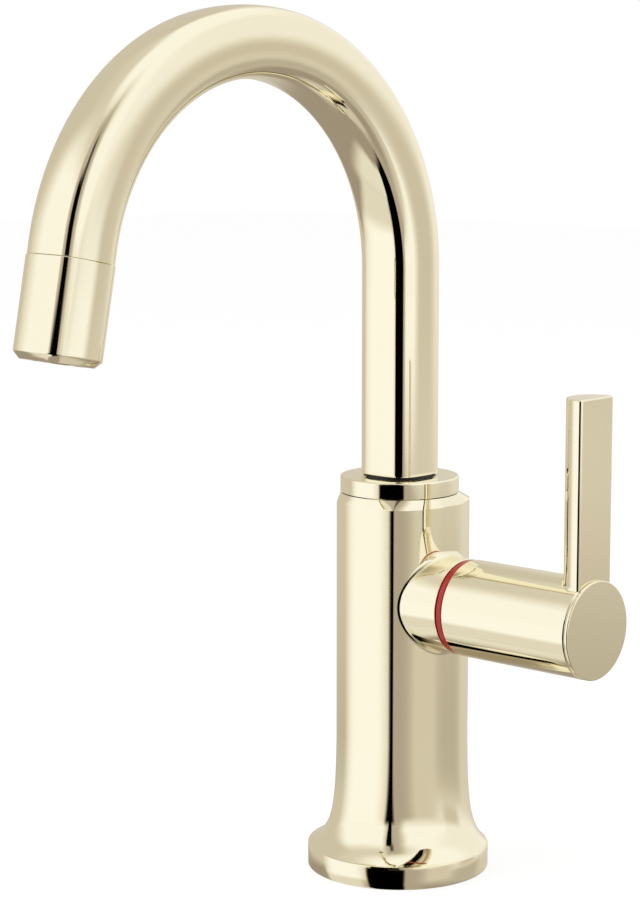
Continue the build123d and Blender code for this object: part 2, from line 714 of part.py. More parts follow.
# Lever handle: round barrel with an upright blade, flat in front and half round behind
with BuildPart() as lever_handle:
    ring_x(BARREL_START, BARREL_END, 0, BARREL_RADIUS)
    with BuildSketch(Plane.XY.offset(VALVE_AXIS_Z)) as blade_section:
        back = BARREL_END - BLADE_SIDE
        with BuildLine():
            Polyline(
                (back, BLADE_HALF_WIDTH),
                (BARREL_END, BLADE_HALF_WIDTH),
                (BARREL_END, -BLADE_HALF_WIDTH),
                (back, -BLADE_HALF_WIDTH),
            )
            CenterArc((back, 0), BLADE_HALF_WIDTH, 90, 180)
        make_face()
        fillet(blade_section.vertices().group_by(Axis.X)[-1], BLADE_FRONT_ROUND)
    extrude(blade_section.sketch, amount=BLADE_TOP - VALVE_AXIS_Z)
    root = lever_handle.edges(Select.LAST).filter_by_position(
        Axis.Z, VALVE_AXIS_Z + BLADE_HALF_WIDTH, VALVE_AXIS_Z + BARREL_RADIUS + 1
    )
    behind = root.filter_by(lambda edge: edge.center().X < back)
    fillet(behind, BLADE_ROOT_ROUND)
    fillet(lever_handle.faces().sort_by(Axis.Z)[-1].edges(), BLADE_TIP_ROUND)
    ring_x(BARREL_START, handle_cavity_end, 0, NUT_BORE + 1.4, Mode.SUBTRACT)
    ring_x(handle_cavity_end, WEB_START, 0, 6 + RUNNING, Mode.SUBTRACT)
    ring_x(WEB_START, WEB_END, 0, SCREW_CLEARANCE, Mode.SUBTRACT)
    ring_x(WEB_END, cap_floor, 0, 6, Mode.SUBTRACT)
    ring_x(cap_floor, BARREL_END, 0, CAP_RECESS_RADIUS, Mode.SUBTRACT)
save(lever_handle.part, "lever_handle")

# Socket screw that draws the handle onto the stem
with BuildPart() as handle_screw:
    turn_x([
        (STEM_END - 4, 0),
        (STEM_END - 4, 2),
        (WEB_END, 2),
        (WEB_END, 3.5),
        (WEB_END + 3, 3.5),
        (WEB_END + 3, 0),
    ])
    with BuildSketch(Plane((WEB_END + 1, 0, VALVE_AXIS_Z), z_dir=(1, 0, 0))) as hex_socket:
        RegularPolygon(1.7, 6)
    extrude(hex_socket.sketch, amount=2, mode=Mode.SUBTRACT)
save(handle_screw.part, "handle_screw")

# Push-in cap over the handle's end, and the ring that grips it
with BuildPart() as handle_end_cap:
    rim_radius = BARREL_RADIUS - RUNNING
    turn_x([
        (cap_start, 0),
        (cap_start + CAP_THICKNESS, 0),
        (cap_start + CAP_THICKNESS, rim_radius - 0.3),
        (cap_start + CAP_THICKNESS - 0.3, rim_radius),
        (cap_start, rim_radius),
    ])
    ring_x(cap_floor + 0.5, cap_start, CAP_RECESS_RADIUS - 2.8, CAP_RECESS_RADIUS - SEATED)
    ring_x(cap_floor + 1.7, cap_floor + 3.3, CAP_RECESS_RADIUS - 1.35, CAP_RECESS_RADIUS + 1,
           Mode.SUBTRACT)
save(handle_end_cap.part, "handle_end_cap")

with BuildPart() as cap_oring:
    o_ring_x(cap_floor + 2.5, CAP_RECESS_RADIUS - 0.67, 0.63)
save(cap_oring.part, "cap_oring")
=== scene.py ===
"""Visible skins, finishes and studio for a swivel-spout hot water faucet with a side lever."""

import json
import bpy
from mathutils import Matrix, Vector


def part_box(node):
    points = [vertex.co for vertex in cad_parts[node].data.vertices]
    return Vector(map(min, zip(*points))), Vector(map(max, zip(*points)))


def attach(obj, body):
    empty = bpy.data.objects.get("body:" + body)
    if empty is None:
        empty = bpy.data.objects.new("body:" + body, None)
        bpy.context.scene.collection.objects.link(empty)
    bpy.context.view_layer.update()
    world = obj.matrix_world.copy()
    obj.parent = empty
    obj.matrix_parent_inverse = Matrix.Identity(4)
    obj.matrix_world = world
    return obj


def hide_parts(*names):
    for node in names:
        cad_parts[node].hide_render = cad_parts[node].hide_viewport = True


bl_info = {
    "name": "Hot Water Faucet",
    "version": (1, 0, 0),
    "blender": (4, 5, 0),
    "location": "View3D > Sidebar > Faucet",
    "description": "Builds the polished skins, finishes and studio of a swivel-spout faucet",
    "category": "Add Mesh",
}

from math import atan2, cos, exp, hypot, pi, radians, sin, sqrt

import bmesh
import bpy
from bpy.props import FloatProperty, FloatVectorProperty, PointerProperty
from mathutils import Matrix, Vector
from mathutils.geometry import delaunay_2d_cdt

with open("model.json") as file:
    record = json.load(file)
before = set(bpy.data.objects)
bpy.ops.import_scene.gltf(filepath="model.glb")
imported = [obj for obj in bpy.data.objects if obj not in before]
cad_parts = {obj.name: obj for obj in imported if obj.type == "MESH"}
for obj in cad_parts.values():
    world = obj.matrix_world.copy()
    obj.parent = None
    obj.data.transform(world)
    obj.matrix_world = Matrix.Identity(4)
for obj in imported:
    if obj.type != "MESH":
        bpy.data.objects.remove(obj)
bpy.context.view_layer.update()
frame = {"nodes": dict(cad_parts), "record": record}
body_low, body_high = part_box("body")
collar_low, collar_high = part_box("spout_collar")
tube_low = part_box("spout_tube")[0]
lever_low, lever_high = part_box("lever_handle")
ring_low, ring_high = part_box("hot_indicator_ring")
cap_low, cap_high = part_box("handle_end_cap")


def length(name, description, default, low=0.0, high=1.0):
    """A size in metres that the panel shows."""
    return FloatProperty(
        name=name,
        description=description,
        default=default,
        min=low,
        max=high,
        unit="LENGTH",
        precision=5,
    )


def colour(name, description, default):
    """A linear colour that the panel shows."""
    return FloatVectorProperty(
        name=name,
        description=description,
        default=default,
        min=0.0,
        max=1.0,
        size=3,
        subtype="COLOR",
    )


class ColumnSettings(bpy.types.PropertyGroup):
    """Sizes of the cast column, its flare and base flange, and the valve stub."""

    front_crest: length("Front Crest", "Axis to the middle of the front face", 0.01956)
    front_radius: length("Front Radius", "Radius of the front and back faces", 0.031)
    side_crest: length("Side Crest", "Axis to the middle of a side face", 0.020)
    side_radius: length("Side Radius", "Radius of the side faces", 0.027)
    side_centre: length("Side Centre", "How far back the side faces' middle lies", 0.002)
    crease_radius: length("Crease Radius", "Round on the upright creases", 0.001)
    top: length("Top", "Height of the column's top", body_high.z)
    shoulder_drop: length("Shoulder Drop", "Height of the bevelled shoulder", 0.003)
    shoulder_radius: length("Shoulder Radius", "Radius at the top of the shoulder", 0.0192)
    flare_top: length("Flare Top", "Height where the flare begins", 0.045)
    flare_quick: length("Flare Quick", "How fast the flare's foot spreads", 0.0032)
    flare_slow: length("Flare Slow", "How fast the flare's upper part spreads", 0.009)
    flange_radius: length("Flange Radius", "Radius of the round base flange", -body_low.x)
    flange_rim: length("Flange Rim", "Height of the flange's rim", 0.0076)
    rim_chamfer: length("Rim Chamfer", "Bevel on the flange's rim", 0.0004)
    rim_ledge: length("Rim Ledge", "Flat between the rim and the flare", 0.0002)
    stub_radius: length("Stub Radius", "Radius of the valve stub", 0.0155)
    stub_end: length("Stub End", "Axis to the stub's end face", 0.0281)
    stub_fillet: length("Stub Fillet", "Round where the stub leaves the column", 0.0018)
    valve_height: length("Valve Height", "Height of the valve's level axis", 0.0908)


class SpoutSettings(bpy.types.PropertyGroup):
    """Sizes of the gooseneck tube and its outlet sleeve."""

    half_width: length("Half Width", "Axis to the middle of a face", 0.0109)
    face_radius: length("Face Radius", "Bulge of the four faces", 0.034)
    corner_radius: length("Corner Radius", "Round on the four corners", 0.006)
    bore: length("Bore", "Radius of the round bore", 0.009)
    arc_radius: length("Arc Radius", "Radius of the gooseneck's centre line", 0.071)
    arc_height: length("Arc Height", "Height of the gooseneck's centre", 0.1981)
    arc_angle: FloatProperty(
        name="Arc Angle",
        description="How far the gooseneck turns",
        default=radians(168.5),
        min=0.1,
        max=pi,
        subtype="ANGLE",
    )
    lead_out: length("Lead Out", "Straight tube between the arc and the sleeve", 0.0042)
    seam: length("Seam", "Bevel on each side of the sleeve's seam", 0.00012)
    seam_gap: length("Seam Gap", "Half the slit between tube and sleeve", 0.00006)
    sleeve_step: length("Sleeve Step", "How far the sleeve stands proud", 0.00025)
    sleeve_length: length("Sleeve Length", "Length of the outlet sleeve", 0.0293)
    sleeve_chamfer: length("Sleeve Chamfer", "Bevel at the sleeve's mouth", 0.002)
    sleeve_bore: length("Sleeve Bore", "Radius inside the sleeve", 0.0096)
    lip_length: length("Lip Length", "Depth of the lip at the mouth", 0.002)
    lip_bore: length("Lip Bore", "Radius of the mouth", 0.0076)
    screen_thickness: length("Screen Thickness", "Depth of the outlet screen", 0.0006)
    wire_pitch: length("Wire Pitch", "Spacing of the screen's wires", 0.00072)
    wire_radius: length("Wire Radius", "Radius of one wire", 0.00013)


class HandleSettings(bpy.types.PropertyGroup):
    """Sizes of the lever handle, its end cap and the coloured ring."""

    barrel_start: length("Barrel Start", "Axis to the barrel's inner end", lever_low.x)
    barrel_end: length("Barrel End", "Axis to the barrel's outer end", lever_high.x)
    barrel_radius: length("Barrel Radius", "Radius of the barrel", 0.0156)
    blade_side: length("Blade Side", "Straight side behind the blade's front face", 0.0015)
    blade_half_width: length(
        "Blade Half Width", "Half the blade's width and the radius of its back", 0.0084
    )
    blade_top: length("Blade Top", "Height of the blade's tip", lever_high.z)
    blade_round: length("Blade Round", "Round on the front face's upright edges", 0.0011)
    tip_round: length("Tip Round", "Round on the edge of the blade's tip", 0.0006)
    root_fillet: length("Root Fillet", "Round where the blade leaves the barrel", 0.0016)
    cap_radius: length("Cap Radius", "Radius of the end cap", cap_high.y)


class FinishSettings(bpy.types.PropertyGroup):
    """Colours of the finishes."""

    nickel: colour("Nickel", "Polished nickel", (0.95, 0.905, 0.72))
    indicator: colour("Indicator", "Hot marker ring", (0.5, 0.022, 0.018))
    brass: colour("Brass", "Machined brass", (0.74, 0.56, 0.27))
    steel: colour("Steel", "Stainless steel", (0.62, 0.62, 0.60))
    acetal: colour("Acetal", "Natural acetal bearings", (0.82, 0.82, 0.79))
    dark_acetal: colour("Dark Acetal", "Black acetal", (0.03, 0.03, 0.03))
    rubber: colour("Rubber", "Black seals", (0.02, 0.02, 0.02))
    ceramic: colour("Ceramic", "Lapped ceramic discs", (0.88, 0.87, 0.84))
    silicone: colour("Silicone", "Milky water tube", (0.74, 0.74, 0.70))


class StudioSettings(bpy.types.PropertyGroup):
    """Camera, floor and light."""

    focal_length: FloatProperty(
        name="Focal Length",
        description="Camera lens in millimetres",
        default=98.9,
        min=20.0,
        max=300.0,
        unit="CAMERA",
    )
    floor_size: length("Floor Size", "Side of the pale floor", 6.0, 1.0, 20.0)
    floor_colour: colour("Floor", "Pale floor", (0.86, 0.86, 0.86))
    key_power: FloatProperty(
        name="Key Power",
        description="Power of the overhead softbox in watts",
        default=6.0,
        min=0.0,
        max=200.0,
    )


# Bores, grooves and seats in metres, mostly hidden
CAVITY_RADIUS, CAVITY_TOP = 0.0145, 0.062
SHANK_RADIUS, SHANK_MOUTH, SHANK_DEPTH, SHANK_LEAD = 0.01325, 0.01375, 0.012, 0.0005
GASKET_INNER, GASKET_OUTER, GASKET_DEPTH = 0.024, 0.028, 0.0015
SOCKET_RADIUS, SOCKET_FLOOR = 0.014, 0.1155
SPIGOT_BORE, CHAMBER_FLOOR = 0.00905, 0.1038
PORT_CIRCLE, PORT_RADIUS, PORT_END, PORT_STEPS = 0.0092, 0.0035, 0.071, 40
VALVE_BORE, VALVE_SEAT, NUT_BORE, NUT_SEAT = 0.0105, 0.002, 0.012, 0.022
STUB_ROOT, STUB_ROOT_RADIUS = 0.001, 0.0115
SKIRT_RADIUS, COLLAR_BORE = 0.01395, 0.0105
GLIDE_RECESS, GLIDE_DEPTH = 0.01175, 0.0024
HAIRLINE_DEPTH, HAIRLINE_HEIGHT = 0.003, 0.00025
RING_BORE, RING_GROOVE, RING_GAP = 0.0126, 0.0016, 0.0003
BUSH_BORE, BUSH_END = 0.0134, 0.04175
CAP_RECESS, CAP_DEPTH, CAP_SEAM = 0.012, 0.0046, 0.00015
SCREW_HEAD_BORE, SCREW_CLEARANCE, ADAPTER_BORE = 0.006, 0.00215, 0.00605
WEB_START, WEB_END = 0.057, 0.060
PLUG_OUTER, PLUG_INNER = 0.0119, 0.0092
# How high the flare starts above the flange's rim, and the blade above the valve's axis
FLARE_START, BLADE_START = 0.0003, 0.0125
# Points on each wide and narrow arc of the column's and of the tube's outline
COLUMN_STEPS, TUBE_STEPS = (40, 8), (14, 16)
# Edges that turn more than this many degrees stay sharp in the shading
SHARP_ANGLE, SLEEVE_SHARP_ANGLE = 32.0, 24.0


# Outlines


def meeting_point(centre_a, radius_a, centre_b, radius_b, toward):
    """The point where two circles cross, on the side of a given point."""
    dx, dy = centre_b[0] - centre_a[0], centre_b[1] - centre_a[1]
    gap = hypot(dx, dy)
    along = (radius_a**2 - radius_b**2 + gap**2) / (2 * gap)
    across = sqrt(radius_a**2 - along**2)
    foot = (centre_a[0] + along * dx / gap, centre_a[1] + along * dy / gap)
    options = [
        (foot[0] - side * across * dy / gap, foot[1] + side * across * dx / gap)
        for side in (1, -1)
    ]
    return min(options, key=lambda p: hypot(p[0] - toward[0], p[1] - toward[1]))


def bearing(centre, point):
    """The direction from a centre to a point, in radians."""
    return atan2(point[1] - centre[1], point[0] - centre[0])


def sample(arcs, wide_steps, narrow_steps):
    """Points along a closed chain of (centre, radius, start, end) arcs, wide and narrow in turn."""
    points = []
    for index, (centre, radius, start, end) in enumerate(arcs):
        steps = narrow_steps if index % 2 else wide_steps
        for step in range(steps):
            angle = start + (end - start) * step / steps
            points.append((centre[0] + radius * cos(angle), centre[1] + radius * sin(angle)))
    return points


def pillow_arcs(spout, grow=0.0):
    """The spout tube's outline: four bulged faces joined by round corners."""
    half = spout.half_width + grow
    face_radius = spout.face_radius + grow
    corner_radius = spout.corner_radius + grow
    offset = half - face_radius
    reach = face_radius - corner_radius
    corner = meeting_point((offset, 0), reach, (0, offset), reach, (half, half))
    edge = bearing((offset, 0), corner)
    arcs = []
    for quarter in range(4):
        turn = quarter * pi / 2
        c, s = cos(turn), sin(turn)
        arcs.append(((offset * c, offset * s), face_radius, turn - edge, turn + edge))
        centre = (corner[0] * c - corner[1] * s, corner[0] * s + corner[1] * c)
        arcs.append((centre, corner_radius, turn + edge, turn + pi / 2 - edge))
    return arcs


def column_arcs(column, roundness=0.0, crease=None):
    """The column's outline, drawn towards the flange's circle as roundness goes to 1."""
    crease = crease or column.crease_radius
    keep = 1 - roundness
    ledge = column.flange_radius - column.rim_chamfer - column.rim_ledge
    front = (0, keep * (column.front_radius - column.front_crest))
    side = (keep * (column.side_crest - column.side_radius), keep * column.side_centre)
    back = (0, 2 * side[1] - front[1])
    end_radius = keep * column.front_radius + roundness * ledge
    side_radius = keep * column.side_radius + roundness * ledge
    low = meeting_point(front, end_radius - crease, side, side_radius - crease, (1, -1))
    high = meeting_point(back, end_radius - crease, side, side_radius - crease, (1, 1))
    front_edge, low_edge = bearing(front, low), bearing(side, low)
    high_edge, back_edge = bearing(side, high), bearing(back, high)
    right = [
        (low, crease, front_edge, low_edge),
        (side, side_radius, low_edge, high_edge),
        (high, crease, high_edge, back_edge),
    ]
    left = [((-x, y), r, pi - end, pi - start) for (x, y), r, start, end in reversed(right)]
    return [
        (front, end_radius, -pi - front_edge, front_edge),
        *right,
        (back, end_radius, back_edge, pi - back_edge),
        *left,
    ]


def round_arcs(arcs, radius):
    """A circle divided at the same bearings as another outline."""
    return [((0, 0), radius, start, end) for _, _, start, end in arcs]


def tube_outline(spout, grow=0.0):
    """Points round the spout tube, perhaps grown outwards."""
    return sample(pillow_arcs(spout, grow), *TUBE_STEPS)


def tube_bore(spout, radius):
    """Points round a bore, matched to those round the tube."""
    return sample(round_arcs(pillow_arcs(spout), radius), *TUBE_STEPS)


def flare_arcs(column, height):
    """The column's outline at a height within the flare."""

    def ease(rise):
        return 0.4 * exp(-rise / column.flare_quick) + 0.6 * exp(-rise / column.flare_slow)

    rise, whole = height - column.flange_rim, column.flare_top - column.flange_rim
    roundness = ease(rise) - ease(whole) * rise / whole
    return column_arcs(column, roundness, column.crease_radius + 0.021 * roundness**2)


def soften(corners, steps=5):
    """An outline of (a, b, round) corners with each corner turned into a short arc."""
    points = []
    count = len(corners)
    for index, (a, b, size) in enumerate(corners):
        here = Vector((a, b))
        if size <= 0:
            points.append((a, b))
            continue
        before = Vector(corners[index - 1][:2]) - here
        after = Vector(corners[(index + 1) % count][:2]) - here
        half = before.angle(after) / 2
        reach = size / (sin(half) / cos(half))
        start, end = here + before.normalized() * reach, here + after.normalized() * reach
        centre = here + (before.normalized() + after.normalized()).normalized() * size / sin(half)
        for step in range(steps + 1):
            spoke = (start - centre).lerp(end - centre, step / steps).normalized() * size
            points.append(tuple(centre + spoke))
    return points


# Skins


class Skin:
    """Rings of points and the faces between them."""

    def __init__(self):
        self.points = []
        self.faces = []

    def ring(self, points):
        """Add points and give back their numbers."""
        first = len(self.points)
        self.points.extend(Vector(p) for p in points)
        return list(range(first, len(self.points)))

    def bridge(self, low, high, closed=True):
        """Join two rings of as many points."""
        count = len(low)
        for i in range(count if closed else count - 1):
            j = (i + 1) % count
            self.faces.append((low[i], low[j], high[j], high[i]))

    def stack(self, rings, loop=False):
        """Join rings one after another, and the last to the first if it is a loop."""
        made = [self.ring(points) for points in rings]
        for low, high in zip(made, made[1:]):
            self.bridge(low, high)
        if loop:
            self.bridge(made[-1], made[0])
        return made

    def pole(self, ring, point):
        """Close a ring with a fan of triangles about one point."""
        tip = self.ring([point])[0]
        count = len(ring)
        for i in range(count):
            self.faces.append((ring[i], ring[(i + 1) % count], tip))

    def turned(self, outline, place, loop=True, steps=160):
        """Turn an outline of (along, radius) points; place gives the point at an angle."""
        rings = [turn_points(place, along, radius, steps) for along, radius in outline]
        return self.stack(rings, loop)

    def mesh(self, name):
        """Turn the skin into a mesh with its doubles merged and its faces turned outward."""
        mesh = bpy.data.meshes.new(name)
        mesh.from_pydata([tuple(p) for p in self.points], [], self.faces)
        work = bmesh.new()
        work.from_mesh(mesh)
        bmesh.ops.remove_doubles(work, verts=work.verts, dist=1e-7)
        bmesh.ops.recalc_face_normals(work, faces=work.faces)
        work.to_mesh(mesh)
        work.free()
        return mesh

    def make(self, name, body, slot, *nodes, flat=True, sharp=SHARP_ANGLE):
        """Turn the skin into a finished piece that rides on a body and stands for CAD nodes."""
        material, mesh = finish(slot), self.mesh(name)
        mesh.shade_smooth()
        mesh.set_sharp_from_angle(angle=radians(sharp))
        mesh.materials.append(material)
        piece = placed(name, mesh)
        if flat:
            even = piece.modifiers.new("Even Shading", "WEIGHTED_NORMAL")
            even.keep_sharp = True
            even.weight = 100
        return adopt(piece, body, slot, *nodes)


def placed(name, data):
    """Put new data into the scene as an object at the origin."""
    piece = bpy.data.objects.new(name, data)
    bpy.context.scene.collection.objects.link(piece)
    return piece


def adopt(piece, body, slot, *nodes):
    """Let a piece ride on a body and stand for CAD nodes; the slot is not used."""
    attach(piece, body)
    if nodes:
        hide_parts(*nodes)
    return piece


def about_z(along, radius, angle):
    """A point turned about the spout's upright axis."""
    return (radius * cos(angle), radius * sin(angle), along)


def about_valve(along, radius, angle):
    """A point turned about the valve's level axis."""
    height = bpy.context.scene.faucet_column.valve_height
    return (along, -radius * sin(angle), height + radius * cos(angle))


def turn_points(place, along, radius, steps):
    """Points all the way round at one distance and radius."""
    return [place(along, radius, 2 * pi * step / steps) for step in range(steps)]


def outlet_matrix(spout, distance):
    """The place and direction of the outlet end, at a distance beyond the arc."""
    a = spout.arc_angle
    direction = Vector((0, -sin(a), cos(a)))
    across = Vector((1, 0, 0))
    place = Vector((0, -spout.arc_radius * (1 - cos(a)), spout.arc_height))
    place.z += spout.arc_radius * sin(a)
    turned = Matrix((across, direction.cross(across), direction)).transposed().to_4x4()
    return Matrix.Translation(place + direction * distance) @ turned


# Nodes


class NodeChain:
    """Adds and joins the nodes of one tree by their sockets' names or numbers."""

    def __init__(self, tree):
        self.tree = tree

    def add(self, kind, values=None, **settings):
        """Add a node, set its attributes, and set or link its inputs."""
        node = self.tree.nodes.new(kind)
        for key, value in settings.items():
            setattr(node, key, value)
        for key, value in (values or {}).items():
            socket = node.inputs[key]
            if isinstance(value, bpy.types.NodeSocket):
                self.tree.links.new(value, socket)
            else:
                socket.default_value = value
        return node

    def first(self, kind, values=None, **settings):
        """Add a node and give back its first output."""
        return self.add(kind, values, **settings).outputs[0]

    def shape(self, kind, **values):
        """Add a geometry node, its inputs named with underscores, and give back its result."""
        named = {key.replace("_", " "): value for key, value in values.items()}
        return self.first("GeometryNode" + kind, named)

    def math(self, operation, *values):
        """Add a math node and give back its result."""
        return self.first("ShaderNodeMath", dict(enumerate(values)), operation=operation)

    def ramp(self, value, low, high, start=0.0, end=1.0, kind="SMOOTHSTEP"):
        """Map a value from one range onto another."""
        values = {"Value": value, "From Min": low, "From Max": high}
        values.update({"To Min": start, "To Max": end})
        return self.first("ShaderNodeMapRange", values, interpolation_type=kind)

    def vector(self, **parts):
        """Join numbers into a vector."""
        return self.first("ShaderNodeCombineXYZ", parts)

    def parts(self, vector):
        """The X, Y and Z of a vector."""
        return self.add("ShaderNodeSeparateXYZ", {0: vector}).outputs

    def mix(self, share, below, above):
        """Blend two shaders."""
        return self.first("ShaderNodeMixShader", {0: share, 1: below, 2: above})


def node_material(name):
    """A material with nodes, and the chain that adds to them."""
    material = bpy.data.materials.new(name)
    material.use_nodes = True
    return material, NodeChain(material.node_tree)


def open_tree(name, sizes, source=None):
    """Begin a geometry tree: its chain and its named inputs of (name, default, subtype)."""
    tree = bpy.data.node_groups.new(name, "GeometryNodeTree")
    face = tree.interface
    if source:
        face.new_socket(source, in_out="INPUT", socket_type="NodeSocketGeometry")
    for label, default, subtype in sizes:
        socket = face.new_socket(label, in_out="INPUT", socket_type="NodeSocketFloat")
        socket.default_value, socket.subtype = default, subtype
    face.new_socket("Geometry", in_out="OUTPUT", socket_type="NodeSocketGeometry")
    chain = NodeChain(tree)
    return chain, chain.add("NodeGroupInput").outputs


def close_tree(chain, result, material):
    """End a geometry tree with plain geometry in its material."""
    real = chain.shape("RealizeInstances", Geometry=result)
    painted = chain.shape("SetMaterial", Geometry=real, Material=material)
    chain.add("NodeGroupOutput", {0: painted})
    return chain.tree


def gooseneck_tree(material):
    """Bend a straight upright tube along the gooseneck: a riser, an arc and a straight end."""
    sizes = (
        ("Foot", 0.12, "DISTANCE"),
        ("Riser", 0.08, "DISTANCE"),
        ("Arc Radius", 0.07, "DISTANCE"),
        ("Arc Angle", pi, "ANGLE"),
    )
    chain, given = open_tree("Gooseneck", sizes, "Tube")
    math = chain.math
    radius, angle, riser = given["Arc Radius"], given["Arc Angle"], given["Riser"]
    spot = chain.parts(chain.shape("InputPosition"))
    straight = math("MINIMUM", spot["Z"], riser)
    beyond = math("SUBTRACT", spot["Z"], riser)
    turn = math("MINIMUM", math("MAXIMUM", math("DIVIDE", beyond, radius), 0.0), angle)
    rest = math("MAXIMUM", math("SUBTRACT", beyond, math("MULTIPLY", radius, angle)), 0.0)
    reach = math("ADD", radius, spot["Y"])
    bend_y = math("SUBTRACT", math("MULTIPLY", reach, math("COSINE", turn)), radius)
    bend_z = math("MULTIPLY", reach, math("SINE", turn))
    across = math("SUBTRACT", bend_y, math("MULTIPLY", rest, math("SINE", angle)))
    above = math("ADD", bend_z, math("MULTIPLY", rest, math("COSINE", angle)))
    height = math("ADD", math("ADD", given["Foot"], straight), above)
    moved = chain.vector(X=spot["X"], Y=across, Z=height)
    bent = chain.shape("SetPosition", Geometry=given["Tube"], Position=moved)
    return close_tree(chain, bent, material)


def woven_screen_tree(material):
    """A round screen of crossing wires, woven over and under each other."""
    sizes = (
        ("Radius", 0.0095, "DISTANCE"),
        ("Pitch", 0.0007, "DISTANCE"),
        ("Wire Radius", 0.0001, "DISTANCE"),
    )
    chain, given = open_tree("Woven Screen", sizes)
    math, shape = chain.math, chain.shape
    radius, pitch, wire = given["Radius"], given["Pitch"], given["Wire Radius"]
    half_count = math("FLOOR", math("DIVIDE", radius, pitch))
    count = math("ADD", math("MULTIPLY", half_count, 2.0), 1.0)
    first = math("MULTIPLY", math("MULTIPLY", half_count, pitch), -1.0)
    cloth, whole = (chain.add("GeometryNodeJoinGeometry") for _ in range(2))
    for sign, quarter in ((1.0, 0), (-1.0, pi / 2)):
        start, gap = chain.vector(Y=first), chain.vector(Y=pitch)
        line = shape("MeshLine", Count=count, Start_Location=start, Offset=gap)
        row = chain.parts(shape("InputPosition"))["Y"]
        square = math("SUBTRACT", math("MULTIPLY", radius, radius), math("MULTIPLY", row, row))
        chord = math("SQRT", math("MAXIMUM", square, 1e-9))
        one = shape("CurvePrimitiveLine", Start=(-1, 0, 0), End=(1, 0, 0))
        fine = shape("ResampleCurve", Curve=one, Count=72)
        scale = chain.vector(X=chord, Y=1.0, Z=1.0)
        wires = shape("InstanceOnPoints", Points=line, Instance=fine, Scale=scale)
        real = shape("RealizeInstances", Geometry=wires)
        spot = chain.parts(shape("InputPosition"))
        waves = [
            math("COSINE", math("MULTIPLY", math("DIVIDE", spot[axis], pitch), pi))
            for axis in ("X", "Y")
        ]
        lift = math("MULTIPLY", math("MULTIPLY", *waves), sign)
        rise = chain.vector(Z=math("MULTIPLY", lift, wire))
        bent = shape("SetPosition", Geometry=real, Offset=rise)
        layer = shape("Transform", Geometry=bent, Rotation=(0, 0, quarter))
        chain.tree.links.new(layer, cloth.inputs[0])
    section = shape("CurvePrimitiveCircle", Resolution=6, Radius=wire)
    hoop = shape("CurvePrimitiveCircle", Resolution=72, Radius=radius)
    thick = shape("CurvePrimitiveCircle", Resolution=8, Radius=math("MULTIPLY", wire, 2.0))
    skin = shape("CurveToMesh", Curve=cloth.outputs[0], Profile_Curve=section, Fill_Caps=True)
    rim = shape("CurveToMesh", Curve=hoop, Profile_Curve=thick)
    for part in (skin, rim):
        chain.tree.links.new(part, whole.inputs[0])
    return close_tree(chain, whole.outputs[0], material)


def grow_nodes(name, tree, values, start=None):
    """Run a node tree with named inputs on a mesh, or on an empty one, and keep the result."""
    seed = placed(name, start or bpy.data.meshes.new(name + "_seed"))
    modifier = seed.modifiers.new("Shape", "NODES")
    modifier.node_group = tree
    for item in tree.interface.items_tree:
        if item.item_type == "SOCKET" and item.in_out == "INPUT" and item.name in values:
            modifier[item.identifier] = values[item.name]
    graph = bpy.context.evaluated_depsgraph_get()
    mesh = bpy.data.meshes.new_from_object(seed.evaluated_get(graph))
    seed.modifiers.remove(modifier)
    if not mesh.polygons:
        raise RuntimeError(f"{name} came out empty")
    seed.data = mesh
    return seed


# Finishes

# By slot: colour setting, shade of its clouds, least and most roughness, scale of the grain, depth
# of its relief in metres, and the grain's stretch on a metal, or how soft a moulded piece is
METALS = {
    "nickel": ("nickel", (0.985, 0.975, 0.95), (0.035, 0.06), 900, 0.0, (1, 1, 1)),
    "brass": ("brass", (0.93, 0.9, 0.82), (0.16, 0.3), 2600, 0.00002, (1, 0.15, 0.15)),
    "stainless": ("steel", (0.92, 0.92, 0.92), (0.18, 0.34), 3000, 0.00001, (1, 0.2, 1)),
}
MOULDED = {
    "indicator_red": ("indicator", (0.86, 0.7, 0.7), (0.18, 0.28), 1800, 0.000004, 0.0),
    "acetal": ("acetal", (0.96, 0.96, 0.93), (0.38, 0.5), 1600, 0.000006, 0.1),
    "dark_acetal": ("dark_acetal", (0.7, 0.7, 0.7), (0.35, 0.5), 1600, 0.000008, 0.0),
    "seal_rubber": ("rubber", (0.75, 0.75, 0.75), (0.55, 0.75), 2400, 0.000015, 0.0),
    "ceramic": ("ceramic", (0.97, 0.96, 0.94), (0.12, 0.22), 2200, 0.000002, 0.0),
    "tube_silicone": ("silicone", (0.95, 0.95, 0.92), (0.35, 0.45), 1200, 0.000005, 0.2),
}


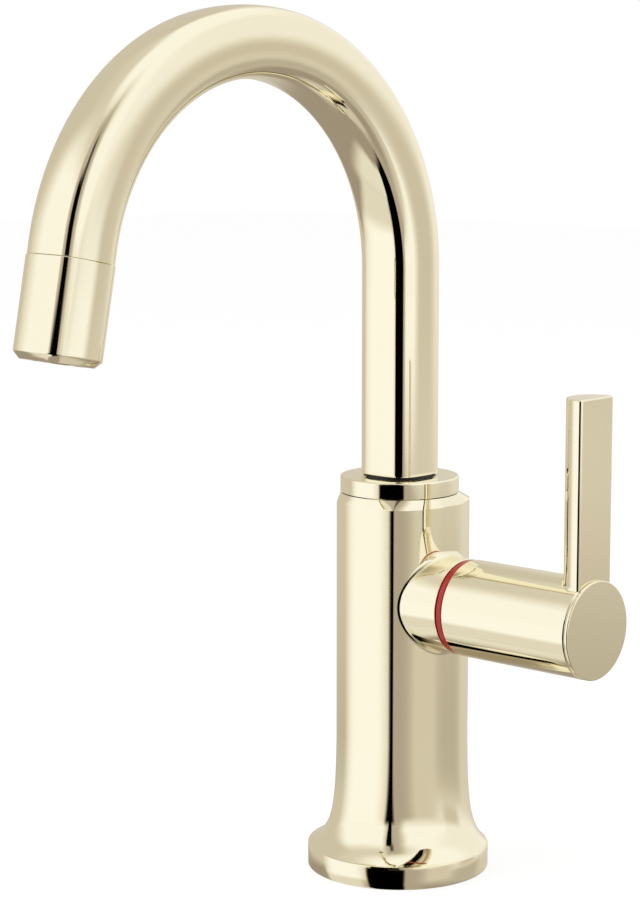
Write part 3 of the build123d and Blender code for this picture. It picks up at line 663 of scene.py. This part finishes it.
def finish(slot):
    """The material for one of the record's slots, made once, with faint clouds and a fine grain."""
    name = slot.replace("_", " ").title()
    if name in bpy.data.materials:
        return bpy.data.materials[name]
    metal = slot in METALS
    setting, shade, rough, grain, depth, last = (METALS if metal else MOULDED)[slot]
    base = getattr(bpy.context.scene.faucet_finish, setting)
    material, chain = node_material(name)
    shader = material.node_tree.nodes["Principled BSDF"].inputs
    coords = chain.add("ShaderNodeTexCoord").outputs["Object"]

    def noise(scale, detail, stretch=(1, 1, 1)):
        spot = chain.add("ShaderNodeMapping", {"Vector": coords, "Scale": stretch})
        values = {"Vector": spot.outputs["Vector"], "Scale": scale, "Detail": detail}
        return chain.add("ShaderNodeTexNoise", values).outputs["Fac"]

    if metal:
        shader["Metallic"].default_value = 1.0
        cloud, fine = noise(35.0, 2.0), noise(grain, 4.0, last)
    else:
        shader["Subsurface Weight"].default_value = last
        shader["Subsurface Scale"].default_value = 0.002
        cloud, fine = noise(90.0, 2.0), noise(grain, 3.0)
    dimmed = [c * s for c, s in zip(base, shade)]
    values = {"Factor": cloud, "A": (*base, 1), "B": (*dimmed, 1)}
    tint = chain.add("ShaderNodeMix", values, data_type="RGBA").outputs["Result"]
    links = material.node_tree.links
    links.new(tint, shader["Base Color"])
    links.new(chain.ramp(fine, 0.3, 0.7, *rough, kind="LINEAR"), shader["Roughness"])
    if depth:
        bump = chain.add("ShaderNodeBump", {"Strength": 1.0, "Distance": depth, "Height": fine})
        links.new(bump.outputs["Normal"], shader["Normal"])
    return material


# Pieces


class BuildColumn(bpy.types.Operator):
    """Build the column with its shoulder, flare, base flange and valve stub"""

    bl_idname = "faucet.build_column"
    bl_label = "Column"

    def execute(self, context):
        column = context.scene.faucet_column
        skin = Skin()

        def level(arcs, height):
            return [(x, y, height) for x, y in sample(arcs, *COLUMN_STEPS)]

        plain = column_arcs(column)
        shoulder = column.top - column.shoulder_drop
        foot = column.flange_rim + FLARE_START
        rim, cut, top = column.flange_radius, column.rim_chamfer, column.flange_rim

        # Underside: cavity, shank thread, gasket groove and deck face, then the rim
        profile = (
            (CAVITY_RADIUS, CAVITY_TOP),
            (CAVITY_RADIUS, SHANK_DEPTH),
            (SHANK_RADIUS, SHANK_DEPTH),
            (SHANK_RADIUS, SHANK_LEAD),
            (SHANK_MOUTH, 0),
            (GASKET_INNER, 0),
            (GASKET_INNER, GASKET_DEPTH),
            (GASKET_OUTER, GASKET_DEPTH),
            (GASKET_OUTER, 0),
            (rim - cut, 0),
            (rim - 0.3 * cut, 0.3 * cut),
            (rim, cut),
            (rim, top - cut),
            (rim - 0.3 * cut, top - 0.3 * cut),
            (rim - cut, top),
            (rim - cut - column.rim_ledge, top),
        )
        round_foot = flare_arcs(column, foot)
        rings = [level(round_arcs(round_foot, radius), height) for radius, height in profile]
        flare_rings = 72
        for step in range(flare_rings):
            fall = (step / flare_rings) ** 1.8
            height = foot + (column.flare_top - foot) * fall
            rings.append(level(flare_arcs(column, height), height))
        for step in range(9):
            height = column.flare_top + (shoulder - column.flare_top) * step / 8
            # The last of these rings lies just under the shoulder's edge
            rings.append(level(plain, height - (0.00015 if step == 8 else 0)))
        rings.append(level(plain, shoulder))
        # Shoulder and spigot socket
        outline = sample(plain, *COLUMN_STEPS)
        circle_points = sample(round_arcs(plain, 1.0), *COLUMN_STEPS)
        seat = []
        for (x, y), (u, v) in zip(outline, circle_points):
            way = 2 * Vector((x, y)).normalized() + Vector((u, v))
            seat.append(way.normalized() * column.shoulder_radius)
        for t in (0.06, 0.35, 0.65, 0.94, 1.0):
            rings.append(
                [
                    (x + (s.x - x) * t, y + (s.y - y) * t, shoulder + column.shoulder_drop * t)
                    for (x, y), s in zip(outline, seat)
                ]
            )
        for radius, height in (
            (SOCKET_RADIUS, column.top),
            (SOCKET_RADIUS, SOCKET_FLOOR),
            (SPIGOT_BORE, SOCKET_FLOOR),
            (SPIGOT_BORE, CHAMBER_FLOOR),
        ):
            rings.append(level(round_arcs(plain, radius), height))
        made = skin.stack(rings)
        skin.pole(made[-1], (0, 0, CHAMBER_FLOOR))
        self.cavity_roof(skin, made[0])
        self.stub(skin, column)
        skin.make("column_skin", "base", "nickel", "body", flat=False)
        return {"FINISHED"}

    def cavity_roof(self, skin, ring):
        """Close the cavity with a roof that has the three port bores in it."""
        rim = [Vector(skin.points[i][:2]) for i in ring]
        loops = [rim]
        for angle in (pi, 5 * pi / 3, pi / 3):
            x, y = PORT_CIRCLE * cos(angle), PORT_CIRCLE * sin(angle)
            turns = [2 * pi * k / PORT_STEPS for k in range(PORT_STEPS)]
            loops.append(
                [Vector((x + PORT_RADIUS * cos(a), y + PORT_RADIUS * sin(a))) for a in turns]
            )
        # Triangulated in millimetres
        flat = [point * 1000 for loop in loops for point in loop]
        edges, first = [], 0
        for loop in loops:
            count = len(loop)
            edges += [(first + i, first + (i + 1) % count) for i in range(count)]
            first += count
        found, _, faces, _, _, _ = delaunay_2d_cdt(flat, edges, [], 1, 1e-6)
        numbers = skin.ring([(p.x / 1000, p.y / 1000, CAVITY_TOP) for p in found])
        ports = [sum(loop, Vector((0, 0))) / len(loop) * 1000 for loop in loops[1:]]
        # A triangle inside a port has its middle nearer to the centre than the port's sides are
        side = 1000 * PORT_RADIUS * cos(pi / PORT_STEPS)
        for face in faces:
            middle = sum((found[i] for i in face), Vector((0, 0))) / len(face)
            if all((middle - port).length > side for port in ports):
                skin.faces.append(tuple(numbers[i] for i in face))
        for loop in loops[1:]:
            mouth = skin.ring([(p.x, p.y, CAVITY_TOP) for p in loop])
            end = skin.ring([(p.x, p.y, PORT_END) for p in loop])
            skin.bridge(mouth, end)
            centre = sum(loop, Vector((0, 0))) / len(loop)
            skin.pole(end, (centre.x, centre.y, PORT_END))

    def stub(self, skin, column):
        """The valve stub, with its bore, end face and root fillet on the side face."""
        steps, size = 192, column.stub_fillet
        centre_x = column.side_crest - column.side_radius
        rings = [
            turn_points(about_valve, x, radius, steps)
            for x, radius in (
                (VALVE_SEAT, VALVE_BORE),
                (NUT_SEAT, VALVE_BORE),
                (NUT_SEAT, NUT_BORE),
                (column.stub_end, NUT_BORE),
                (column.stub_end, column.stub_radius - 0.0003),
                (column.stub_end - 0.00009, column.stub_radius - 0.00009),
                (column.stub_end - 0.0003, column.stub_radius),
            )
        ]
        balls = []
        for k in range(steps):
            angle = 2 * pi * k / steps
            out = Vector((0, -sin(angle), cos(angle)))
            reach = (column.stub_radius + size) * out
            away = reach.y - column.side_centre
            x = centre_x + sqrt((column.side_radius + size) ** 2 - away**2)
            ball = Vector((x, reach.y, column.valve_height + reach.z))
            wall = Vector((x - centre_x, away, 0)).normalized()
            balls.append((ball, out, wall))
        for step in range(9):
            t = step / 8
            rings.append([b - size * (o * (1 - t) + w * t).normalized() for b, o, w in balls])
        rings.append(turn_points(about_valve, STUB_ROOT, STUB_ROOT_RADIUS, steps))
        made = skin.stack(rings)
        skin.pole(made[0], about_valve(VALVE_SEAT, 0, 0))
        skin.pole(made[-1], about_valve(STUB_ROOT, 0, 0))


class BuildCollar(bpy.types.Operator):
    """Build the round collar that the spout turns in"""

    bl_idname = "faucet.build_collar"
    bl_label = "Collar"

    def execute(self, context):
        low, high = context.scene.faucet_column.top, collar_high.z
        radius = collar_high.x
        skin = Skin()
        corners = [
            (low, SKIRT_RADIUS, 0),
            (low, radius - HAIRLINE_DEPTH, 0),
            (low + HAIRLINE_HEIGHT, radius - HAIRLINE_DEPTH, 0),
            (low + HAIRLINE_HEIGHT, radius, 0.00015),
            (high, radius, 0.00055),
            (high, GLIDE_RECESS, 0.00015),
            (high - GLIDE_DEPTH, GLIDE_RECESS, 0),
            (high - GLIDE_DEPTH, COLLAR_BORE, 0),
            (collar_low.z, COLLAR_BORE, 0),
            (collar_low.z, SKIRT_RADIUS, 0),
        ]
        skin.turned(soften(corners), about_z)
        skin.make("collar_skin", "base", "nickel", "spout_collar")
        return {"FINISHED"}


class BuildSpout(bpy.types.Operator):
    """Build the gooseneck tube"""

    bl_idname = "faucet.build_spout"
    bl_label = "Gooseneck"

    def execute(self, context):
        spout = context.scene.faucet_spout
        foot, bevel = tube_low.z, spout.seam
        riser = spout.arc_height - foot
        bend = spout.arc_radius * spout.arc_angle
        end = riser + bend + spout.lead_out - spout.seam_gap
        stations = [(0, -bevel), (bevel, 0)]
        stations += [(riser * step / 8, 0) for step in range(1, 9)]
        # With 59 steps the arc's very top falls midway between two rings, inside the CAD box
        steps = 59
        stations += [(riser + bend * step / steps, 0) for step in range(1, steps + 1)]
        stations += [(end - bevel, 0), (end, -bevel)]
        skin = Skin()
        rings = [
            [(x, y, height) for x, y in tube_outline(spout, grow)]
            for height, grow in stations
        ]
        bore = tube_bore(spout, spout.bore)
        rings += [[(x, y, height) for x, y in bore] for height, _ in reversed(stations)]
        skin.stack(rings, loop=True)
        sizes = {
            "Foot": foot,
            "Riser": riser,
            "Arc Radius": spout.arc_radius,
            "Arc Angle": spout.arc_angle,
        }
        tree = gooseneck_tree(finish("nickel"))
        piece = grow_nodes("gooseneck_skin", tree, sizes, skin.mesh("gooseneck_straight"))
        piece.data.shade_smooth()
        piece.data.set_sharp_from_angle(angle=radians(SHARP_ANGLE))
        adopt(piece, "spout", "nickel", "spout_tube")
        return {"FINISHED"}


class BuildOutletSleeve(bpy.types.Operator):
    """Build the sleeve over the outlet end"""

    bl_idname = "faucet.build_outlet_sleeve"
    bl_label = "Outlet Sleeve"

    def execute(self, context):
        spout = context.scene.faucet_spout
        start, end = spout.lead_out + spout.seam_gap, spout.lead_out + spout.sleeve_length
        step, cut = spout.sleeve_step, spout.sleeve_chamfer
        outer = [
            (start, step - spout.seam),
            (start + spout.seam, step),
            (start + spout.seam + 0.0002, step),
            (end - cut - 0.0004, step),
            (end - cut - 0.00012, step),
            (end - cut + 0.00008, step - 0.00008),
            (end - 0.0001, step - cut + 0.0001),
            (end, step - cut - 0.0001),
        ]
        inner = [
            (end, spout.lip_bore + 0.0002),
            (end - 0.0002, spout.lip_bore),
            (end - spout.lip_length, spout.lip_bore),
            (end - spout.lip_length, spout.sleeve_bore),
            (start, spout.sleeve_bore),
        ]
        skin = Skin()
        outlines = [(distance, tube_outline(spout, grow)) for distance, grow in outer]
        outlines += [(distance, tube_bore(spout, radius)) for distance, radius in inner]
        rings = []
        for distance, outline in outlines:
            place = outlet_matrix(spout, distance)
            rings.append([place @ Vector((x, y, 0)) for x, y in outline])
        skin.stack(rings, loop=True)
        shading = {"flat": False, "sharp": SLEEVE_SHARP_ANGLE}
        skin.make("outlet_sleeve_skin", "spout", "nickel", "outlet_sleeve", **shading)
        return {"FINISHED"}


class BuildOutletScreen(bpy.types.Operator):
    """Weave the fine screen inside the outlet"""

    bl_idname = "faucet.build_outlet_screen"
    bl_label = "Outlet Screen"

    def execute(self, context):
        spout = context.scene.faucet_spout
        wire, play = spout.wire_radius, 0.0001
        sizes = {
            "Radius": spout.sleeve_bore - play - 2 * wire,
            "Pitch": spout.wire_pitch,
            "Wire Radius": wire,
        }
        tree = woven_screen_tree(finish("stainless"))
        screen = grow_nodes("outlet_screen_weave", tree, sizes)
        depth = spout.lead_out + spout.sleeve_length - spout.lip_length
        middle = depth - spout.screen_thickness / 2
        screen.data.transform(outlet_matrix(spout, middle))
        screen.data.shade_smooth()
        adopt(screen, "spout", "stainless", "outlet_screen")
        return {"FINISHED"}


class BuildIndicatorRing(bpy.types.Operator):
    """Build the coloured ring that marks the hot valve"""

    bl_idname = "faucet.build_indicator_ring"
    bl_label = "Indicator Ring"

    def execute(self, context):
        start, end, outer = ring_low.x, ring_high.x, ring_high.y
        corners = [
            (start, RING_BORE, 0),
            (start, outer - RING_GROOVE, 0),
            (start + RING_GAP, outer - RING_GROOVE, 0),
            (start + RING_GAP, outer, 0.00015),
            (end, outer, 0.0004),
            (end, RING_BORE, 0),
        ]
        skin = Skin()
        skin.turned(soften(corners), about_valve)
        skin.make("indicator_ring_skin", "base", "indicator_red", "hot_indicator_ring")
        return {"FINISHED"}


class BuildLever(bpy.types.Operator):
    """Build the lever handle: a round barrel with an upright blade"""

    bl_idname = "faucet.build_lever"
    bl_label = "Lever Handle"

    def execute(self, context):
        handle = context.scene.faucet_handle
        start, end, radius = handle.barrel_start, handle.barrel_end, handle.barrel_radius
        skin = Skin()
        corners = [
            (start, BUSH_BORE, 0),
            (start, radius, 0.0003),
            (end, radius, 0.0008),
            (end, CAP_RECESS, 0.0002),
            (end - CAP_DEPTH, CAP_RECESS, 0),
            (end - CAP_DEPTH, SCREW_HEAD_BORE, 0),
            (WEB_END, SCREW_HEAD_BORE, 0),
            (WEB_END, SCREW_CLEARANCE, 0),
            (WEB_START, SCREW_CLEARANCE, 0),
            (WEB_START, ADAPTER_BORE, 0),
            (BUSH_END, ADAPTER_BORE, 0),
            (BUSH_END, BUSH_BORE, 0),
        ]
        skin.turned(soften(corners), about_valve, steps=192)
        self.blade(skin, handle, context.scene.faucet_column.valve_height)
        skin.make("lever_skin", "handle", "nickel", "lever_handle")
        return {"FINISHED"}

    def blade(self, skin, handle, axis):
        """The upright blade, flat in front and half round behind, with a fillet at its root."""
        outer, half = handle.barrel_end, handle.blade_half_width
        back, bend = outer - handle.blade_side, handle.blade_round
        loop = []

        def add_arc(centre, radius, first, last, steps):
            for step in range(steps + 1):
                angle = radians(first + (last - first) * step / steps)
                way = Vector((cos(angle), sin(angle)))
                loop.append((Vector(centre) + radius * way, way))

        add_arc((outer - bend, half - bend), bend, 0, 90, 12)
        add_arc((back, 0), half, 90, 270, 72)
        add_arc((outer - bend, bend - half), bend, 270, 360, 12)
        for step in range(1, 12):
            y = (half - bend) * (step / 6 - 1)
            loop.append((Vector((outer, y)), Vector((1, 0))))
        rows = []
        for step in range(13):
            t = step / 12
            row = []
            for point, way in loop:
                room = (outer - bend - point.x) / 0.0025
                size = handle.root_fillet * min(max(room, 0.03), 1)
                ball = point + way * size
                reach = handle.barrel_radius + size
                height = sqrt(reach**2 - ball.y**2)
                up = Vector((0, ball.y, height)).normalized()
                spoke = (up * (1 - t) + way.to_3d() * t).normalized() * size
                spot = Vector((ball.x, ball.y, axis + height)) - spoke
                spot.x = min(spot.x, outer)
                row.append(spot)
            rows.append(row)
        low = [Vector((p.x, p.y, axis + BLADE_START)) for p, _ in loop]
        tip, edge = handle.blade_top, handle.tip_round
        foot = rows[-1]
        for step in range(1, 13):
            t = step / 12
            rows.append([Vector((p.x, p.y, p.z + (tip - edge - p.z) * t)) for p in foot])
        for turn in range(15, 91, 15):
            inset, rise = edge * (1 - cos(radians(turn))), edge * sin(radians(turn))
            rows.append([(p - w * inset).to_3d() for p, w in loop])
            for spot in rows[-1]:
                spot.z = tip - edge + rise
        made = skin.stack([low] + rows)
        skin.faces.append(tuple(made[-1]))
        skin.faces.append(tuple(reversed(made[0])))


class BuildEndCap(bpy.types.Operator):
    """Build the cap over the handle's outer end"""

    bl_idname = "faucet.build_end_cap"
    bl_label = "End Cap"

    def execute(self, context):
        radius = context.scene.faucet_handle.cap_radius
        face, back = cap_high.x, context.scene.faucet_handle.barrel_end + CAP_SEAM
        corners = [
            (face, radius, 0.0004),
            (back, radius, 0.00015),
            (back, PLUG_OUTER, 0),
            (cap_low.x, PLUG_OUTER, 0.0003),
            (cap_low.x, PLUG_INNER, 0),
            (back, PLUG_INNER, 0),
        ]
        outline = soften([(face, 0.0, 0)] + corners + [(back, 0.0, 0)])
        skin = Skin()
        made = skin.turned(outline[1:-1], about_valve, loop=False)
        skin.pole(made[0], about_valve(face, 0, 0))
        skin.pole(made[-1], about_valve(back, 0, 0))
        skin.make("end_cap_skin", "handle", "nickel", "handle_end_cap")
        return {"FINISHED"}


class FinishInnerPieces(bpy.types.Operator):
    """Give each piece that keeps its own mesh the finish of its slot"""

    bl_idname = "faucet.finish_inner_pieces"
    bl_label = "Inner Pieces"

    def execute(self, context):
        slots = {row["node"]: row["material_slot"] for row in frame["record"]["subparts"]}
        for name, node in frame["nodes"].items():
            node.data.materials.clear()
            node.data.materials.append(finish(slots[name]))
        return {"FINISHED"}


# The studio as reflections see it: each card's bearing, inner and outer half width, low and high
# edge and softness in degrees, and its brightness
STUDIO_CARDS = (
    (60, 60, 110, -90, -57, 6, 0.58),  # floor below the handle
    (70, 20, 60, -8, 42, 10, 0.88),  # right wall
    (50, 6, 34, -30, -11, 4, 0.45),  # floor beside the side card
    (48, 4, 20, -9, 3, 5, 0.56),  # gap beside the side card
    (-110, 75, 120, 43, 70, 12, 0.66),  # ceiling
    (165, 28, 54, -16, 52, 9, 0.57),  # beige back wall
    (175, 26, 50, -42, -16, 6, 0.3),  # floor before the back wall
    (-125, 22, 34, -42, -18, 4, 0.72),  # left softbox, foot
    (-122, 26, 50, -58, -40, 4, 0.76),  # floor before the left softbox
    (-122, 14, 38, -24, 6, 4, 1.0),  # left softbox
    (-42, 8, 36, -58, 6, 5, 0.38),  # haze right of the flag
    (-55, 12, 34, 2, 60, 6, 0.42),  # haze above the flag
    (-73, 4, 18, 0, 50, 6, 0.45),  # haze left of the flag
    (-65, 22, 26.5, -42, 3, 3, 0.0),  # black flag
    (-63, 21, 26, -60, -36, 5, 0.0),  # its foot
    (-59, 9, 15, 0, 38, 5, 0.0),  # its upper part
    (-52, 3, 9, 34, 50, 5, 0.06),  # its top
)
# Strength of what reflections see, of the soft light on the object and of the floor's own glow,
# and that glow's share of what the camera sees there
SHINE, SOFT_LIGHT, FLOOR_GLOW, FLOOR_SHARE = 1.04, 0.75, 1.13, 0.7
# Colour of the light at each brightness: the darker, the warmer
STUDIO_TINTS = (
    (0.0, (0, 0, 0)),
    (0.28, (0.33, 0.28, 0.23)),
    (0.59, (0.635, 0.587, 0.505)),
    (0.8, (0.836, 0.8, 0.74)),
    (1.0, (1, 1, 1)),
)


# Where the camera stands, the direction behind it, and the point that the lamps face
CAMERA_PLACE, CAMERA_BACK = (0.51997, -0.60511, 0.25765), (0.66862, -0.72877, 0.14779)
LAMP_AIM = (0, -0.05, 0.12)


def studio_tint(chain, level):
    """The colour of the studio's light at a brightness."""
    warmth = chain.add("ShaderNodeValToRGB", {"Fac": level})
    stops = warmth.color_ramp.elements
    while len(stops) < len(STUDIO_TINTS):
        stops.new(0.5)
    for stop, (place, shade) in zip(stops, STUDIO_TINTS):
        stop.position, stop.color = place, (*shade, 1)
    return warmth.outputs["Color"]


class BuildStudio(bpy.types.Operator):
    """Build the pale floor, the light and the camera"""

    bl_idname = "faucet.build_studio"
    bl_label = "Studio"

    def execute(self, context):
        studio = context.scene.faucet_studio
        context.scene.view_settings.view_transform = "Standard"
        self.floor(studio)
        self.surroundings()
        self.card("side_card", (0.62, -0.45), (0.62, 0.5), 0.3, 0.97, 0.2, 0.06)
        self.card("flag_card", (0.043, -0.34), (0.17, -0.294), 0.26, 0.0, 0.05, 0.0)
        self.lamp("key_softbox", (-0.55, -0.75, 1.25), 1.1, studio.key_power)
        self.lamp("fill_softbox", (0.9, 0.3, 0.9), 0.9, studio.key_power * 0.4)
        lens = bpy.data.cameras.new("camera")
        lens.lens = studio.focal_length
        camera = placed("camera", lens)
        back = Vector(CAMERA_BACK).normalized()
        camera.location = CAMERA_PLACE
        camera.rotation_mode = "QUATERNION"
        camera.rotation_quaternion = (-back).to_track_quat("-Z", "Y")
        context.scene.camera = camera
        return {"FINISHED"}

    def sheet(self, name, corners, material):
        """A flat piece of the stage with four corners."""
        mesh = bpy.data.meshes.new(name)
        mesh.from_pydata(corners, [], [(0, 1, 2, 3)])
        mesh.materials.append(material)
        return placed(name, mesh)

    def floor(self, studio):
        """A pale floor that catches the shadow and shows white to the camera."""
        size = studio.floor_size / 2
        material, chain = node_material("Pale Floor")
        chain.tree.nodes.clear()
        matte = chain.first("ShaderNodeBsdfDiffuse", {"Color": (*studio.floor_colour, 1)})
        glow = chain.first("ShaderNodeEmission", {"Strength": FLOOR_GLOW})
        seen = chain.add("ShaderNodeLightPath").outputs["Is Camera Ray"]
        whole = chain.mix(chain.math("MULTIPLY", seen, FLOOR_SHARE), matte, glow)
        chain.add("ShaderNodeOutputMaterial", {"Surface": whole})
        corners = [(-size, -size, 0), (size, -size, 0), (size, size, 0), (-size, size, 0)]
        floor = self.sheet("floor", corners, material)
        floor.visible_glossy = False

    def surroundings(self):
        """A white studio, whose softboxes, walls and black flag only reflections see."""
        world = bpy.data.worlds.new("studio")
        bpy.context.scene.world = world
        world.use_nodes = True
        world.node_tree.nodes.clear()
        chain = NodeChain(world.node_tree)
        ramp = chain.ramp
        way = chain.add("ShaderNodeTexCoord").outputs["Generated"]
        rise = chain.parts(way)["Z"]
        flat = chain.first("ShaderNodeVectorMath", {0: way, 1: (1, 1, 0)}, operation="MULTIPLY")
        round_way = chain.first("ShaderNodeVectorMath", {0: flat}, operation="NORMALIZE")

        def blend(share, below, above):
            values = {0: share, 2: below, 3: above}
            return chain.first("ShaderNodeMix", values, data_type="FLOAT")

        ground = ramp(rise, sin(radians(-42)), sin(radians(-20)), 0.3, 0.6)
        level = blend(ramp(rise, sin(radians(-2)), sin(radians(7))), ground, 0.98)
        for bearing, inner, outer, low, high, soft, shade in STUDIO_CARDS:
            turn = radians(bearing)
            facing = chain.add(
                "ShaderNodeVectorMath",
                {0: round_way, 1: (cos(turn), sin(turn), 0)},
                operation="DOT_PRODUCT",
            ).outputs["Value"]
            share = ramp(facing, cos(radians(outer)), cos(radians(inner)))
            for edge, start, end in ((low, 0.0, 1.0), (high, 1.0, 0.0)):
                below, above = radians(max(edge - soft, -90)), radians(edge + soft)
                edge_share = ramp(rise, sin(below), sin(above), start, end)
                share = chain.math("MULTIPLY", share, edge_share)
            level = blend(share, level, shade)
        tint = studio_tint(chain, level)
        shine = chain.first("ShaderNodeBackground", {"Color": tint, "Strength": SHINE})
        plain = (1, 1, 1, 1)
        soft = chain.first("ShaderNodeBackground", {"Color": plain, "Strength": SOFT_LIGHT})
        white = chain.first("ShaderNodeBackground", {"Color": plain})
        path = chain.add("ShaderNodeLightPath").outputs
        lit = chain.mix(path["Is Glossy Ray"], soft, shine)
        seen = chain.math("MAXIMUM", path["Is Camera Ray"], path["Is Transmission Ray"])
        whole = chain.mix(seen, lit, white)
        chain.add("ShaderNodeOutputWorld", {"Surface": whole})

    def card(self, name, start, end, top, brightness, soft, foot):
        """An upright card that only reflections see, with soft edges and a dimmer foot."""
        material, chain = node_material(name.replace("_", " ").title())
        chain.tree.nodes.clear()
        ramp = chain.ramp
        parts = chain.parts(chain.add("ShaderNodeTexCoord").outputs["Object"])
        level = ramp(parts["Z"], 0, 0.12, 0.7 * brightness, brightness)
        tint = studio_tint(chain, level)
        glow = chain.first("ShaderNodeEmission", {"Color": tint, "Strength": SHINE})
        fade = soft * hypot(end[0] - start[0], end[1] - start[1])
        index = 1 if start[0] == end[0] else 0
        along, near, far = parts["XY"[index]], start[index], end[index]
        edges = [
            ramp(along, near, near + fade),
            ramp(along, far - fade, far, 1, 0),
            ramp(parts["Z"], (1 - 3 * soft) * top, top, 1, 0),
        ]
        if foot:
            edges.append(ramp(parts["Z"], 0, foot))
        share = edges[0]
        for edge in edges[1:]:
            share = chain.math("MULTIPLY", share, edge)
        whole = chain.mix(share, chain.first("ShaderNodeBsdfTransparent"), glow)
        chain.add("ShaderNodeOutputMaterial", {"Surface": whole})
        corners = [(*start, 0), (*end, 0), (*end, top), (*start, top)]
        card = self.sheet(name, corners, material)
        card.visible_camera = card.visible_diffuse = card.visible_shadow = False
        card.visible_transmission = card.visible_volume_scatter = False

    def lamp(self, name, place, size, power):
        """A square softbox that faces the faucet."""
        light = bpy.data.lights.new(name, "AREA")
        light.size = size
        light.energy = power
        lamp = placed(name, light)
        lamp.location = place
        aim = Vector(place) - Vector(LAMP_AIM)
        lamp.rotation_mode = "QUATERNION"
        lamp.rotation_quaternion = aim.to_track_quat("Z", "Y")
        lamp.visible_glossy = False


class FaucetPanel(bpy.types.Panel):
    """Lists the faucet's pieces and their sizes."""

    bl_idname = "VIEW3D_PT_faucet"
    bl_label = "Hot Water Faucet"
    bl_space_type = "VIEW_3D"
    bl_region_type = "UI"
    bl_category = "Faucet"

    def draw(self, context):
        layout = self.layout
        for operator in OPERATORS:
            layout.operator(operator.bl_idname)
        for key in SETTINGS:
            box = layout.box()
            group = getattr(context.scene, key)
            for prop in group.bl_rna.properties:
                if prop.identifier not in ("rna_type", "name"):
                    box.prop(group, prop.identifier)


SETTINGS = {
    "faucet_column": ColumnSettings,
    "faucet_spout": SpoutSettings,
    "faucet_handle": HandleSettings,
    "faucet_finish": FinishSettings,
    "faucet_studio": StudioSettings,
}
OPERATORS = (
    BuildColumn,
    BuildCollar,
    BuildSpout,
    BuildOutletSleeve,
    BuildOutletScreen,
    BuildIndicatorRing,
    BuildLever,
    BuildEndCap,
    FinishInnerPieces,
    BuildStudio,
)


def register():
    for cls in (*SETTINGS.values(), *OPERATORS, FaucetPanel):
        bpy.utils.register_class(cls)
    for key, cls in SETTINGS.items():
        setattr(bpy.types.Scene, key, PointerProperty(type=cls))


def unregister():
    for key in SETTINGS:
        delattr(bpy.types.Scene, key)
    for cls in reversed((*SETTINGS.values(), *OPERATORS, FaucetPanel)):
        bpy.utils.unregister_class(cls)


def main():
    """Register and build every piece in order."""
    register()
    for operator in OPERATORS:
        group, name = operator.bl_idname.split(".")
        getattr(getattr(bpy.ops, group), name)()


if __name__ == "__main__":
    main()
